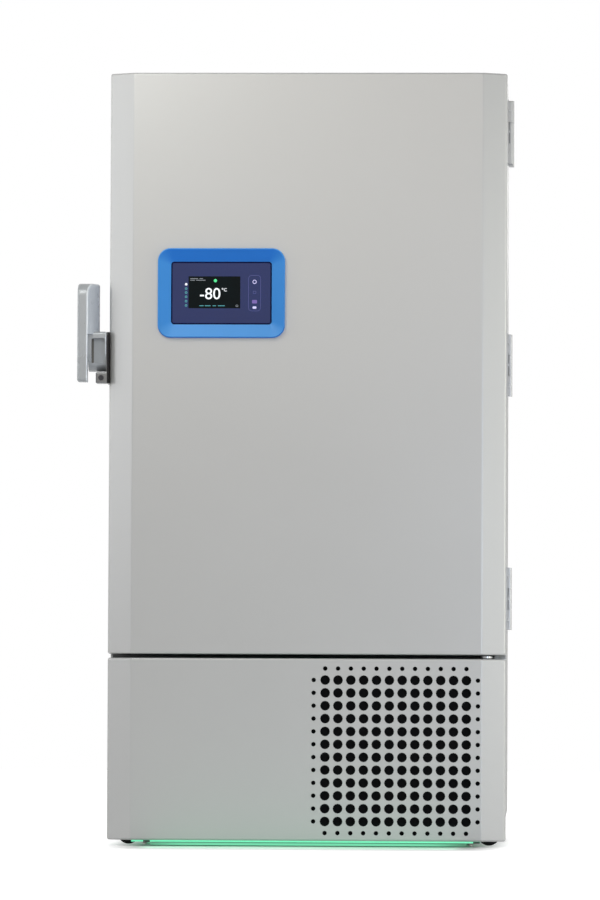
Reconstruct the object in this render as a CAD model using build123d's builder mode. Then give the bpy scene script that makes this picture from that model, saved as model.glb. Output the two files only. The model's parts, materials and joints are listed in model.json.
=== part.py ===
"""Upright ultra low temperature freezer, in millimetres, +Z up, front towards -Y.

The origin is on the floor, below the middle of the whole freezer's outline in plan.
Depths are measured backwards from the outer door's front face, heights from the floor,
and widths from the middle of the cabinet.
"""

from build123d import *
from math import cos, radians, sin
import os

os.makedirs("parts", exist_ok=True)

# Cabinet
cabinet_width = 1020.0
cabinet_height = 1981.0
cabinet_depth = 800.0
wall = 130.0
sheet = 1.2
side_return = 20.0
corner_round = 3.0
liner_sheet = 1.5
jamb_depth = 30.0
bumper_depth = 20.0
box_floor_drop = 59.0

# Outer door and lower panel, which share one bevelled front
door_depth = 118.0
door_gap = 10.0
door_bottom = 490.0
facet_width = 62.0
facet_depth = 30.0
fold_round = 10.0
edge_round = 5.0
gasket_depth = 12.0
gasket_width = 30.0
gasket_margin = 12.0
gasket_round = 8.0
soft_clearance = 0.3
door_liner_sheet = 2.0
plug_depth = 32.0
plug_side_gap = 12.0
plug_draft = 10.0
plug_round = 20.0
panel_bottom = 15.0
panel_depth = 104.0

# Outer door hinges
hinge_height = 160.0
hinge_pitch = 601.0
hinge_middle = 1237.0
hinge_count = 3
hinge_pin_radius = 4.0
knuckle_radius = 6.5
hinge_pin_out = 7.0
leaf_thickness = 3.0
leaf_width = 48.0
leaf_gap = 0.5
knuckle_gap = 1.0
knuckle_web = 8.0
knuckle_shim = 1.0
hinge_cover_out = 17.0
hinge_cover_over = 4.0
hinge_cover_gap = 2.0
hinge_cover_round = 5.0
running_clearance = 0.05

# Latch and handle on the door's left side
latch_bottom = 1183.0
latch_height = 132.0
latch_front = 14.0
latch_back = 104.0
latch_plate = 6.0
latch_plate_round = 8.0
boss_height = 28.0
boss_out = 34.0
boss_depth = 46.0
boss_round = 4.0
boss_edge = 3.0
housing_gap = 0.5
housing_back = 92.0
housing_low = 1257.0
housing_top = 1316.0
housing_hub = 31.0
housing_round = 8.0
housing_edge = 4.0
pocket_in = 10.0
pocket_out = 46.0
pocket_low = 1219.0
pocket_top = 1299.0
pocket_depth = 12.0
pocket_round = 6.0
handle_bar_in = 54.0
handle_out = 80.0
handle_forward = 12.0
handle_bar_depth = 34.0
handle_top = 1439.0
handle_leg_in = 28.0
handle_leg_out = 44.0
handle_pivot_height = 1245.0
handle_pivot_depth = 56.0
handle_pivot_radius = 6.0
handle_leg_half = 16.0
handle_foot_gap = 2.0
handle_crest_round = 32.0
handle_shoulder_round = 9.0
handle_edge_round = 6.0
handle_foot_round = 10.0
handle_leg_round = 4.0
claw_in = 12.0
claw_out = 27.0
claw_height = 14.0
claw_hook = 10.0
claw_gap = 1.0
strike_radius = 7.0
strike_depth = 162.0
strike_length = 32.0
strike_head = 3.0
strike_plate = 3.0
strike_plate_front = 22.0
strike_plate_back = 28.0
strike_plate_half = 38.0
strike_plate_round = 6.0
lock_height = 1197.0
lock_out = 20.0
lock_radius = 7.0
lock_length = 30.0
lock_proud = 3.0
lock_end_gap = 1.0
key_slot = 1.6
key_slot_depth = 2.0

# Control display on the door
display_centre_x = -221.0
display_centre_z = 1413.7
bezel_width = 326.0
bezel_height = 230.0
bezel_corner = 33.0
bezel_proud = 11.0
bezel_rim = 3.0
bezel_round = 2.5
glass_width = 258.0
glass_height = 161.0
glass_corner = 8.0
glass_thickness = 3.0
glass_proud = 3.0
screen_width = 133.0
screen_height = 82.0
screen_offset_x = -18.0
screen_offset_z = 2.0

# Inner doors, shelves and the frame they close on
inner_door_count = 4
inner_door_depth = 35.0
inner_door_setback = 30.0
inner_door_gap = 4.0
inner_door_round = 4.0
inner_door_heel = 10.0
recess_latch_side = 70.0
recess_hinge_side = 45.0
recess_end = 35.0
recess_round = 14.0
recess_depth = 3.0
inner_pin_inset = 8.0
inner_pin_side = 12.0
inner_pin_radius = 3.0
hinge_tab = 3.0
hinge_tab_rim = 7.0
frame_bar = 22.0
frame_bar_depth = 14.0
inner_gasket = 1.6
inner_gasket_margin = 2.0
inner_gasket_overlap = 6.0
inner_latch_inset = 30.0
inner_latch_reach = 32.0
inner_latch_height = 18.0
inner_latch_thickness = 5.0
inner_latch_pin_radius = 4.0
inner_latch_pin = 19.0
inner_latch_hub = 13.0
inner_latch_grip = 6.0
inner_latch_round = 4.0
inner_latch_gap = 1.0
inner_latch_end_gap = 3.0
keeper_reach = 9.0
keeper_thickness = 3.0
keeper_half = 24.0
keeper_leg = 2.0
keeper_leg_depth = 14.0
shelf_sheet = 1.5
shelf_lip = 20.0
shelf_side_gap = 6.0
shelf_back_gap = 20.0
pilaster_width = 24.0
pilaster_depth = 4.0
pilaster_inset = 60.0
clip_height = 12.0
clip_reach = 18.0

# Access ports through the back, and the louvres below them
port_offset = 250.0
port_inset = 110.0
port_radius = 13.0
port_flange = 22.0
port_flange_sheet = 8.0
port_flange_edge = 3.0
port_plug_length = 60.0
louvre_bank = 180.0
louvre_length = 150.0
louvre_gap = 20.0
louvre_height = 6.0
louvre_pitch = 20.0
louvre_rows = 11

# Base and machine compartment
base_height = 75.0
rail_height = 40.0
rail_width = 95.0
cross_rail_width = 50.0
rail_sheet = 3.0
deck_sheet = 2.0
caster_inset = 64.0
caster_depth_in = 75.0
wheel_radius = 28.5
wheel_width = 24.0
tread_bevel = 3.5
wheel_top_gap = 2.0
hub_radius = 9.0
axle_radius = 4.0
axle_end = 1.5
caster_trail = 20.0
fork_sheet = 3.0
fork_side_gap = 1.5
swivel_radius = 16.0
swivel_gap = 1.0
swivel_shoulder = 6.0
kingpin_radius = 6.0
caster_plate = 60.0
caster_plate_sheet = 4.0
caster_plate_round = 5.0
foot_x = 415.0
foot_depth_in = 15.0
foot_travel = 18.0
foot_radius = 11.0
foot_pad = 6.0
foot_bevel = 2.0
stem_radius = 5.0
stem_nut = 11.0
stem_room = 8.0
foot_nut = 10.0

# Perforated grille in the lower panel
grille_count = 12
grille_pitch = 32.75
grille_hole = 12.5
grille_small_hole = 6.0
grille_border = 29.4
grille_first_x = 49.0
grille_low_z = 64.75
panel_pin_x = 459.0
panel_pin_depth = 62.0
panel_pin_radius = 4.0
panel_lug = 8.0
panel_lug_setback = 8.0
lug_gap = 0.5
panel_collar = 3.0
hinge_slot = 16.0
panel_tab = 4.0
panel_tab_width = 30.0
filter_depth = 10.0
filter_gap = 12.0
filter_margin = 3.0
filter_hinge_room = 14.0
filter_round = 4.0
light_half_width = 445.0
light_height = 4.0
light_depth = 12.0

# Refrigeration
compressor_radius = 92.0
compressor_height = 232.0
compressor_x = (-250.0, 190.0)
compressor_depth_in = 560.0
compressor_dome = 41.0
compressor_heel = 14.0
foot_offset = 75.0
foot_plate_round = 20.0
stub_x = 30.0
stub_height = 6.0
stub_wall = 2.0
terminal_width = 60.0
terminal_out = 26.0
terminal_root = 6.0
terminal_low = 80.0
terminal_high = 150.0
grommet_height = 12.0
grommet_radius = 13.0
foot_plate = 5.0
condenser_x = 229.0
condenser_width = 430.0
condenser_height = 250.0
condenser_depth = 54.0
condenser_depth_in = 24.0
fin_count = 16
fin_sheet = 1.6
tube_rows = 5
tube_radius = 5.0
tube_end = 8.0
fan_radius = 104.0
fan_tip_gap = 6.0
fan_depth = 30.0
fan_blades = 5
fan_hub_radius = 26.0
fan_shaft_radius = 4.0
fan_shaft_reach = 29.0
fan_hub_bevel = 5.0
blade_pitch = 28.0
blade_sheet = 2.0
blade_root = 3.0
blade_root_half = 14.0
blade_tip_gap = 4.0
blade_lead = 27.0
blade_lead_in = 16.0
blade_trail = 22.0
blade_trail_in = 20.0
motor_radius = 36.0
motor_depth = 60.0
motor_bevel = 7.0
arm_depth = 4.0
arm_width = 14.0
arm_over = 8.0
shroud_sheet = 2.0
shroud_depth = 46.0
ring_setback = 8.0
pipe_radius = 5.0
pipe_bend = 14.0
pipe_rise = 20.0
exchanger_x = -30.0
exchanger_radius = 38.0
exchanger_height = 210.0
exchanger_bevel = 7.0
exchanger_port = 15.0
exchanger_foot = 84.0
exchanger_foot_round = 6.0
exchanger_foot_sheet = 3.0
box_width = 250.0
box_height = 230.0
box_depth = 200.0
box_inset = 20.0
box_round = 4.0
box_lid = 3.0
box_lid_over = 4.0
box_lid_drop = 6.0
box_lid_round = 5.0

# Power inlet with its rocker switch, and the wall bumpers
inlet_offset = -415.0
inlet_height = 60.0
inlet_depth = 12.0
inlet_half = 30.0
inlet_margin = 26.0
inlet_round = 5.0
socket_half = 20.0
socket_half_height = 13.0
socket_round = 4.0
socket_floor = 2.0
contact_pitch = 9.0
contact_width = 5.0
contact_height = 2.0
rocker_rise = 58.0
rocker_half = 15.0
rocker_width = 20.0
rocker_setback = 4.0
rocker_side_gap = 0.5
rocker_end_gap = 1.0
rocker_floor = 1.0
rocker_back = 3.5
rocker_front = 2.5
rocker_dip = 0.5
rocker_pin = 2.0
rocker_pin_boss = 1.5
rocker_pin_reach = 2.5
rocker_tilt = 8.0
bumper_width = 90.0
bumper_height = 140.0
bumper_round = 10.0
bumper_taper = 12.0
bumper_x = 380.0
bumper_drop = 60.0

# Places worked out from the sizes above
overall_depth = handle_forward + door_depth + gasket_depth + cabinet_depth + bumper_depth
middle = (handle_out - hinge_cover_out) / 2
left = middle - cabinet_width / 2
right = middle + cabinet_width / 2
face = handle_forward - overall_depth / 2
cabinet_front = face + door_depth + gasket_depth
cabinet_back = cabinet_front + cabinet_depth
top = cabinet_height
panel_top = door_bottom - door_gap
storage_left = left + wall
storage_right = right - wall
storage_top = top - wall
deck_top = base_height + rail_height + deck_sheet
box_floor = panel_top - box_floor_drop
storage_bottom = box_floor + wall
storage_back = cabinet_back - wall
inner_face = cabinet_front + inner_door_setback
inner_back = inner_face + inner_door_depth
frame_face = inner_back + soft_clearance + inner_gasket
frame_back = frame_face + frame_bar_depth
inner_pitch = (storage_top - storage_bottom) / inner_door_count
inner_pin_x = storage_right - inner_door_gap - inner_pin_side
inner_pin_y = inner_face + inner_pin_inset
hinge_x = right + hinge_pin_out
hinge_y = face + door_depth + gasket_depth / 2
hinge_heights = [hinge_middle + hinge_pitch * (i - (hinge_count - 1) / 2) for i in range(hinge_count)]
pivot_y = face + handle_pivot_depth
strike_y = face + strike_depth
panel_pin_y = face + panel_pin_depth
panel_x = middle + panel_pin_x


def level(z):
    """The horizontal plane at a height."""
    return Plane.XY.offset(z)


def facing(y):
    """The upright plane at a depth, looked at from the front: its sizes are x and z."""
    return Plane.XZ.offset(-y)


def across(x):
    """The upright plane across the freezer at x: its sizes are y and z."""
    return Plane.YZ.offset(x)


def rect(a0, a1, b0, b1, radius=0.0, mode=Mode.ADD):
    """A rectangle between two corners of the sketch's own plane."""
    with Locations(((a0 + a1) / 2, (b0 + b1) / 2)):
        if radius:
            RectangleRounded(a1 - a0, b1 - b0, radius, mode=mode)
        else:
            Rectangle(a1 - a0, b1 - b0, mode=mode)


def block(x0, x1, y0, y1, z0, z1, mode=Mode.ADD):
    """A box between two corners."""
    with Locations(((x0 + x1) / 2, (y0 + y1) / 2, (z0 + z1) / 2)):
        Box(x1 - x0, y1 - y0, z1 - z0, mode=mode)


def rod(start, end, radius, mode=Mode.ADD):
    """A round bar between two points."""
    run = Vector(*end) - Vector(*start)
    with Locations(Plane(origin=start, z_dir=run).location):
        Cylinder(radius, run.length, align=(Align.CENTER, Align.CENTER, Align.MIN), mode=mode)


def save(name, piece):
    """Labels a finished piece and writes it."""
    piece.part.label = name
    export_step(piece.part, f"parts/{name}.step")


def bevelled_body(low, high, depth, inset=0.0):
    """The solid behind a front with a bevel down each side, drawn in by the inset except at the back."""
    with BuildPart() as body:
        with BuildSketch(level(low + inset)):
            with BuildLine():
                Polyline(
                    (left, face + depth + inset),
                    (left, face + facet_depth),
                    (left + facet_width, face),
                    (right - facet_width, face),
                    (right, face + facet_depth),
                    (right, face + depth + inset),
                    close=True,
                )
            make_face()
            if inset:
                offset(amount=-inset, kind=Kind.INTERSECTION)
        extrude(amount=high - low - 2 * inset)
        folds = body.edges().filter_by(Axis.Z).group_by(Axis.Y)[0:2]
        fillet(folds[0] + folds[1], fold_round - inset)
        rims = body.edges().filter_by(Plane.XY)
        rims = [edge for edge in rims if edge.center().Y < face + depth - 1]
        fillet(rims, edge_round - inset)
    return body.part


# Outer sheet metal of the cabinet

with BuildPart() as side_left:
    with BuildSketch(level(base_height)):
        rect(left, left + side_return, cabinet_front, cabinet_back)
        rect(left + sheet, left + side_return, cabinet_front + sheet, cabinet_back - sheet,
             mode=Mode.SUBTRACT)
    extrude(amount=top - sheet - base_height)
    fillet(side_left.edges().filter_by(Axis.Z).group_by(Axis.X)[0], corner_round)
save("side_panel_left", side_left)

with BuildPart() as side_right:
    mirror(side_left.part, about=across(middle))
save("side_panel_right", side_right)

with BuildPart() as top_sheet:
    with BuildSketch(level(top - sheet)):
        rect(left, right, cabinet_front, cabinet_back, corner_round)
    extrude(amount=sheet)
save("top_panel", top_sheet)

port_x = middle + port_offset
port_heights = (storage_bottom + port_inset, storage_top - port_inset)

with BuildPart() as back_sheet:
    with BuildSketch(facing(cabinet_back)):
        rect(left + side_return, right - side_return, box_floor, top - sheet)
        with Locations(*[(port_x, z) for z in port_heights]):
            Circle(port_radius, mode=Mode.SUBTRACT)
    extrude(amount=sheet)
save("back_panel", back_sheet)

louvre_z = (deck_top + box_floor) / 2

with BuildPart() as service_sheet:
    with BuildSketch(facing(cabinet_back)):
        rect(left + side_return, right - side_return, deck_top, box_floor)
        with Locations((middle - louvre_bank, louvre_z), (middle + louvre_bank, louvre_z)):
            with GridLocations(louvre_length + louvre_gap, louvre_pitch, 2, louvre_rows):
                Rectangle(louvre_length, louvre_height, mode=Mode.SUBTRACT)
    extrude(amount=sheet)
save("rear_service_panel", service_sheet)

# Foamed walls, liner and the plastic breaker round the opening

foam_front = cabinet_front + liner_sheet
foam_back = cabinet_back - sheet
with BuildPart() as foam:
    block(left + sheet, storage_left - liner_sheet, foam_front, foam_back, box_floor, top - sheet)
    block(storage_right + liner_sheet, right - sheet, foam_front, foam_back, box_floor, top - sheet)
foam_walls = foam.part

with BuildPart() as foam_ends:
    block(storage_left - liner_sheet, storage_right + liner_sheet, foam_front, foam_back,
          storage_top + liner_sheet, top - sheet)
    block(storage_left - liner_sheet, storage_right + liner_sheet, foam_front, foam_back,
          box_floor, storage_bottom - liner_sheet)

with BuildPart() as foam_rear:
    block(storage_left - liner_sheet, storage_right + liner_sheet, storage_back + liner_sheet, foam_back,
          storage_bottom - liner_sheet, storage_top + liner_sheet)
    for z in port_heights:
        rod((port_x, storage_back, z), (port_x, cabinet_back, z), port_radius, mode=Mode.SUBTRACT)

insulation = Compound(children=[*foam_walls.solids(), *foam_ends.part.solids(), *foam_rear.part.solids()])
insulation.label = "wall_insulation"
export_step(insulation, "parts/wall_insulation.step")

liner_front = cabinet_front + jamb_depth
with BuildPart() as liner:
    block(storage_left - liner_sheet, storage_right + liner_sheet, liner_front, storage_back + liner_sheet,
          storage_bottom - liner_sheet, storage_top + liner_sheet)
    block(storage_left, storage_right, liner_front, storage_back, storage_bottom, storage_top,
          mode=Mode.SUBTRACT)
    for z in port_heights:
        rod((port_x, storage_back - 1, z), (port_x, cabinet_back, z), port_radius, mode=Mode.SUBTRACT)
save("inner_liner", liner)

with BuildPart() as breaker:
    with BuildSketch(facing(foam_front)):
        rect(left + side_return, right - side_return, box_floor, top - sheet)
        rect(storage_left, storage_right, storage_bottom, storage_top, mode=Mode.SUBTRACT)
    extrude(amount=liner_sheet)
    with BuildSketch(facing(liner_front)):
        rect(storage_left - liner_sheet, storage_right + liner_sheet,
             storage_bottom - liner_sheet, storage_top + liner_sheet)
        rect(storage_left, storage_right, storage_bottom, storage_top, mode=Mode.SUBTRACT)
    extrude(amount=jamb_depth - liner_sheet)
save("breaker_frame", breaker)

with BuildPart() as port_plugs:
    for z in port_heights:
        rod((port_x, cabinet_back - port_plug_length, z), (port_x, cabinet_back, z),
            port_radius - soft_clearance)
        rod((port_x, cabinet_back, z), (port_x, cabinet_back + port_flange_sheet, z), port_flange)
    chamfer(port_plugs.edges().filter_by(GeomType.CIRCLE).group_by(Axis.Y)[-1], port_flange_edge)
save("access_port_plugs", port_plugs)

# The stainless frame behind the inner doors, its gaskets, and the shelves

with BuildPart() as face_frame:
    with BuildSketch(facing(frame_back)):
        rect(storage_left, storage_right, storage_bottom, storage_top)
        for i in range(inner_door_count):
            low = storage_bottom + i * inner_pitch + frame_bar / 2 * (2 if i == 0 else 1)
            high = storage_bottom + (i + 1) * inner_pitch
            high -= frame_bar / 2 * (2 if i == inner_door_count - 1 else 1)
            rect(storage_left + frame_bar, storage_right - frame_bar, low, high, mode=Mode.SUBTRACT)
    extrude(amount=frame_bar_depth)
save("inner_face_frame", face_frame)

inner_doors_low = [storage_bottom + i * inner_pitch + inner_door_gap / 2 for i in range(inner_door_count)]
inner_door_height = inner_pitch - inner_door_gap
inner_left = storage_left + inner_door_gap
inner_right = storage_right - inner_door_gap

with BuildPart() as inner_seals:
    with BuildSketch(facing(frame_face)):
        for z in inner_doors_low:
            rect(inner_left + inner_gasket_margin, inner_right - inner_door_round,
                 z + inner_gasket_margin / 2, z + inner_door_height - inner_gasket_margin / 2)
            rect(inner_left + frame_bar - inner_gasket_overlap, inner_right - frame_bar + inner_door_gap,
                 z + frame_bar / 2, z + inner_door_height - frame_bar / 2, mode=Mode.SUBTRACT)
    extrude(amount=inner_gasket)
save("inner_door_gaskets", inner_seals)

shelf_front = frame_back
shelf_back = storage_back - shelf_back_gap
shelf_heights = [storage_bottom + i * inner_pitch for i in range(1, inner_door_count)]
with BuildPart() as shelves:
    for z in shelf_heights:
        block(storage_left + shelf_side_gap, storage_right - shelf_side_gap, shelf_front, shelf_back,
              z - shelf_lip, z)
        block(storage_left + shelf_side_gap, storage_right - shelf_side_gap,
              shelf_front + shelf_sheet, shelf_back - shelf_sheet, z - shelf_lip, z - shelf_sheet,
              mode=Mode.SUBTRACT)
save("shelves", shelves)

pilaster_y = (shelf_front + pilaster_inset, shelf_back - pilaster_inset)
with BuildPart() as pilasters:
    for y in pilaster_y:
        for wall_x, inward in ((storage_left, 1), (storage_right, -1)):
            near, far = sorted((wall_x, wall_x + inward * pilaster_depth))
            block(near, far, y - pilaster_width / 2, y + pilaster_width / 2, storage_bottom, storage_top)
            near, far = sorted((wall_x, wall_x + inward * clip_reach))
            for z in shelf_heights:
                under = z - shelf_sheet
                block(near, far, y - pilaster_width / 4, y + pilaster_width / 4, under - clip_height, under)
save("shelf_pilasters", pilasters)

with BuildPart() as inner_pins:
    rod((inner_pin_x, inner_pin_y, storage_bottom), (inner_pin_x, inner_pin_y, storage_top), inner_pin_radius)
    for i in range(1, inner_door_count):
        z = storage_bottom + i * inner_pitch
        with BuildSketch(level(z - hinge_tab / 2)):
            rect(inner_pin_x, storage_right, inner_pin_y - hinge_tab_rim, inner_pin_y + hinge_tab_rim)
            with Locations((inner_pin_x, inner_pin_y)):
                Circle(hinge_tab_rim)
        extrude(amount=hinge_tab)

keeper_z = [z + inner_door_height / 2 for z in inner_doors_low]
catch_back = inner_face - inner_latch_gap
keeper_back = catch_back - inner_latch_thickness - inner_latch_gap
keeper_foot = inner_face + keeper_leg_depth
with BuildPart() as keepers:
    add(inner_pins.part)
    for z in keeper_z:
        with BuildSketch(facing(keeper_back)):
            rect(storage_left, storage_left + keeper_reach, z - keeper_half, z + keeper_half)
        extrude(amount=keeper_thickness)
        with BuildSketch(facing(keeper_foot)):
            rect(storage_left, storage_left + keeper_leg, z - keeper_half, z + keeper_half)
        extrude(amount=keeper_foot - keeper_back)
save("inner_door_fittings", keepers)

# The four inner doors and their turn catches

latch_x = inner_left + inner_latch_inset
for i, z in enumerate(inner_doors_low):
    with BuildPart() as inner_door:
        with BuildSketch(level(z)):
            rect(inner_left, inner_right, inner_face, inner_back)
        extrude(amount=inner_door_height)
        back_edges = inner_door.edges().filter_by(Axis.Z).group_by(Axis.Y)[-1]
        chamfer(back_edges.sort_by(Axis.X)[-1], inner_door_heel)
        front_edges = inner_door.faces().sort_by(Axis.Y)[0].edges()
        fillet(front_edges, inner_door_round)
        with BuildSketch(facing(inner_face)):
            rect(inner_left + recess_latch_side, inner_right - recess_hinge_side, z + recess_end,
                 z + inner_door_height - recess_end, recess_round)
        extrude(amount=-recess_depth, mode=Mode.SUBTRACT)
        rod((inner_pin_x, inner_pin_y, z), (inner_pin_x, inner_pin_y, z + inner_door_height),
            inner_pin_radius + running_clearance, mode=Mode.SUBTRACT)
        rod((latch_x, inner_face, keeper_z[i]), (latch_x, inner_face + inner_latch_pin + 1, keeper_z[i]),
            inner_latch_pin_radius + running_clearance, mode=Mode.SUBTRACT)
    save(f"inner_door_{i + 1}", inner_door)

    with BuildPart() as catch:
        with BuildSketch(facing(catch_back)):
            rect(storage_left + inner_latch_end_gap, latch_x, keeper_z[i] - inner_latch_height / 2,
                 keeper_z[i] + inner_latch_height / 2, inner_latch_round)
            with Locations((latch_x, keeper_z[i])):
                Circle(inner_latch_hub)
            rect(latch_x, latch_x + inner_latch_reach, keeper_z[i] - inner_latch_grip,
                 keeper_z[i] + inner_latch_grip)
            with Locations((latch_x + inner_latch_reach, keeper_z[i])):
                Circle(inner_latch_grip)
        extrude(amount=inner_latch_thickness)
        rod((latch_x, catch_back, keeper_z[i]), (latch_x, inner_face + inner_latch_pin, keeper_z[i]),
            inner_latch_pin_radius)
    save(f"inner_latch_{i + 1}", catch)

# Outer door: skin, foam, plastic liner with its plug, and the gasket

door_top = top
insulated_depth = door_depth - door_liner_sheet
door_outer = bevelled_body(door_bottom, door_top, insulated_depth)
door_core = bevelled_body(door_bottom, door_top, insulated_depth, sheet)

with BuildPart() as door_skin:
    add(door_outer)
    add(door_core, mode=Mode.SUBTRACT)
save("outer_door_skin", door_skin)

with BuildPart() as door_foam:
    add(door_core)
    split(bisect_by=facing(face + insulated_depth), keep=Keep.TOP)
save("outer_door_insulation", door_foam)

with BuildPart() as door_liner:
    with BuildSketch(facing(face + door_depth)):
        rect(left, right, door_bottom, door_top)
    extrude(amount=door_liner_sheet)
    with BuildSketch(facing(face + door_depth)):
        rect(storage_left + plug_side_gap, storage_right - plug_side_gap,
             storage_bottom + plug_side_gap, storage_top - plug_side_gap, plug_round)
    extrude(amount=-plug_depth, taper=plug_draft)
save("outer_door_liner", door_liner)

with BuildPart() as door_gasket:
    with BuildSketch(facing(cabinet_front - soft_clearance)):
        rect(left + gasket_margin, right - gasket_margin, door_bottom + gasket_margin,
             door_top - gasket_margin, gasket_round)
        offset(amount=-gasket_width, kind=Kind.INTERSECTION, mode=Mode.SUBTRACT)
    extrude(amount=gasket_depth - soft_clearance)
save("outer_door_gasket", door_gasket)

# Outer door hinges: leaves on the door, and leaves with their pins on the cabinet

knuckle_split = hinge_height / 3
with BuildPart() as door_leaves:
    for z in hinge_heights:
        low = z - hinge_height / 2
        block(right, right + leaf_thickness, hinge_y - gasket_depth / 2 - leaf_width,
              hinge_y - knuckle_radius - leaf_gap, low, low + hinge_height)
        for start in (low, low + 2 * knuckle_split):
            with BuildSketch(level(start)):
                with Locations((hinge_x, hinge_y)):
                    Circle(knuckle_radius)
                rect(right, hinge_x, hinge_y - gasket_depth / 2 - knuckle_web, hinge_y - gasket_depth / 2)
                rect(right + knuckle_shim, hinge_x, hinge_y - gasket_depth / 2 - knuckle_web, hinge_y)
                with Locations((hinge_x, hinge_y)):
                    Circle(hinge_pin_radius + running_clearance, mode=Mode.SUBTRACT)
            extrude(amount=knuckle_split - knuckle_gap)
save("door_hinge_leaves", door_leaves)

with BuildPart() as cabinet_leaves:
    for z in hinge_heights:
        low = z - hinge_height / 2
        block(right, right + leaf_thickness, hinge_y + knuckle_radius + leaf_gap,
              hinge_y + gasket_depth / 2 + leaf_width, low, low + hinge_height)
        with BuildSketch(level(low + knuckle_split)):
            with Locations((hinge_x, hinge_y)):
                Circle(knuckle_radius)
            rect(right + knuckle_shim, hinge_x, hinge_y, hinge_y + gasket_depth / 2 + knuckle_web)
        extrude(amount=knuckle_split - knuckle_gap)
        rod((hinge_x, hinge_y, low), (hinge_x, hinge_y, low + hinge_height), hinge_pin_radius)
    with BuildSketch(level(hinge_heights[-1] - hinge_height / 2 - hinge_cover_over)):
        rect(right + leaf_thickness, right + hinge_cover_out, hinge_y + knuckle_radius + hinge_cover_gap,
             hinge_y + gasket_depth / 2 + leaf_width)
    extrude(amount=hinge_height + 2 * hinge_cover_over)
    fillet(cabinet_leaves.edges().filter_by(Axis.Z).group_by(Axis.X)[-1], hinge_cover_round)
save("cabinet_hinge_leaves", cabinet_leaves)

# Control display: a sloped ring round a glass with a screen behind its window

display_x = middle + display_centre_x
display_z = display_centre_z
glass_face = face - glass_proud
with BuildPart() as bezel:
    with BuildSketch(facing(face)):
        with Locations((display_x, display_z)):
            RectangleRounded(bezel_width, bezel_height, bezel_corner)
    extrude(amount=bezel_proud)
    fillet(bezel.faces().sort_by(Axis.Y)[0].edges(), bezel_round)
    with BuildSketch(facing(face - bezel_proud)) as mouth:
        with Locations((display_x, display_z)):
            RectangleRounded(bezel_width - 2 * bezel_rim, bezel_height - 2 * bezel_rim,
                             bezel_corner - bezel_rim)
    with BuildSketch(facing(glass_face)) as throat:
        with Locations((display_x, display_z)):
            RectangleRounded(glass_width, glass_height, glass_corner)
    loft(mode=Mode.SUBTRACT)
    with BuildSketch(facing(face)):
        with Locations((display_x, display_z)):
            RectangleRounded(glass_width, glass_height, glass_corner)
    extrude(amount=glass_proud, mode=Mode.SUBTRACT)
save("display_bezel", bezel)

window_x = display_x + screen_offset_x
window_z = display_z + screen_offset_z
with BuildPart() as glass:
    with BuildSketch(facing(face)):
        with Locations((display_x, display_z)):
            RectangleRounded(glass_width, glass_height, glass_corner)
        with Locations((window_x, window_z)):
            Rectangle(screen_width, screen_height, mode=Mode.SUBTRACT)
    extrude(amount=glass_thickness)
save("display_glass", glass)

with BuildPart() as screen:
    with BuildSketch(facing(face)):
        with Locations((window_x, window_z)):
            Rectangle(screen_width, screen_height)
    extrude(amount=glass_thickness)
save("display_screen", screen)

# Latch plate and lock boss on the door's side

latch_y = (face + latch_front, face + latch_back)
lock_x = left - lock_out
with BuildPart() as latch_base:
    with BuildSketch(across(left)):
        rect(*latch_y, latch_bottom, latch_bottom + latch_height, latch_plate_round)
    extrude(amount=-latch_plate)
    with BuildSketch(across(left)):
        rect(latch_y[0], latch_y[0] + boss_depth, latch_bottom, latch_bottom + boss_height, boss_round)
    extrude(amount=-boss_out)
    fillet(latch_base.faces().sort_by(Axis.X)[0].edges(), boss_edge)
    rod((left - latch_plate - 1, pivot_y, handle_pivot_height), (left, pivot_y, handle_pivot_height),
        handle_pivot_radius + running_clearance, mode=Mode.SUBTRACT)
    rod((lock_x, latch_y[0] - 1, lock_height), (lock_x, latch_y[0] + lock_length, lock_height),
        lock_radius + running_clearance, mode=Mode.SUBTRACT)
save("latch_base", latch_base)

with BuildPart() as lock:
    rod((lock_x, latch_y[0] - lock_proud, lock_height),
        (lock_x, latch_y[0] + lock_length - lock_end_gap, lock_height), lock_radius)
    with BuildSketch(facing(latch_y[0] - lock_proud)):
        with Locations((lock_x, lock_height)):
            Rectangle(key_slot, lock_radius)
    extrude(amount=-key_slot_depth, mode=Mode.SUBTRACT)
save("lock_cylinder", lock)

# The handle, one casting: a bar whose upper half slants back towards the door, a housing round
# the pivot, and the claw behind it

bar_y = (face - handle_forward, face - handle_forward + handle_bar_depth)
leg_y = (pivot_y - handle_leg_half, pivot_y + handle_leg_half)
claw_low = handle_pivot_height + strike_radius + claw_gap
claw_end = strike_y + strike_radius + claw_gap + claw_hook
with BuildPart() as housing:
    with BuildSketch(across(left - latch_plate - housing_gap)):
        rect(latch_y[0], face + housing_back, housing_low, housing_top)
        with Locations((pivot_y, handle_pivot_height)):
            Circle(housing_hub)
        make_hull()
    extrude(amount=-(handle_bar_in - latch_plate - housing_gap))
    fillet(housing.edges().filter_by(Axis.X).group_by(Axis.Z)[-1], housing_round)
    fillet(housing.faces().sort_by(Axis.X)[-1].edges(), housing_edge)
    with BuildSketch(facing(latch_y[0] + pocket_depth)):
        rect(left - pocket_out, left - pocket_in, pocket_low, pocket_top, pocket_round)
    extrude(amount=2 * pocket_depth, mode=Mode.SUBTRACT)

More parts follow.
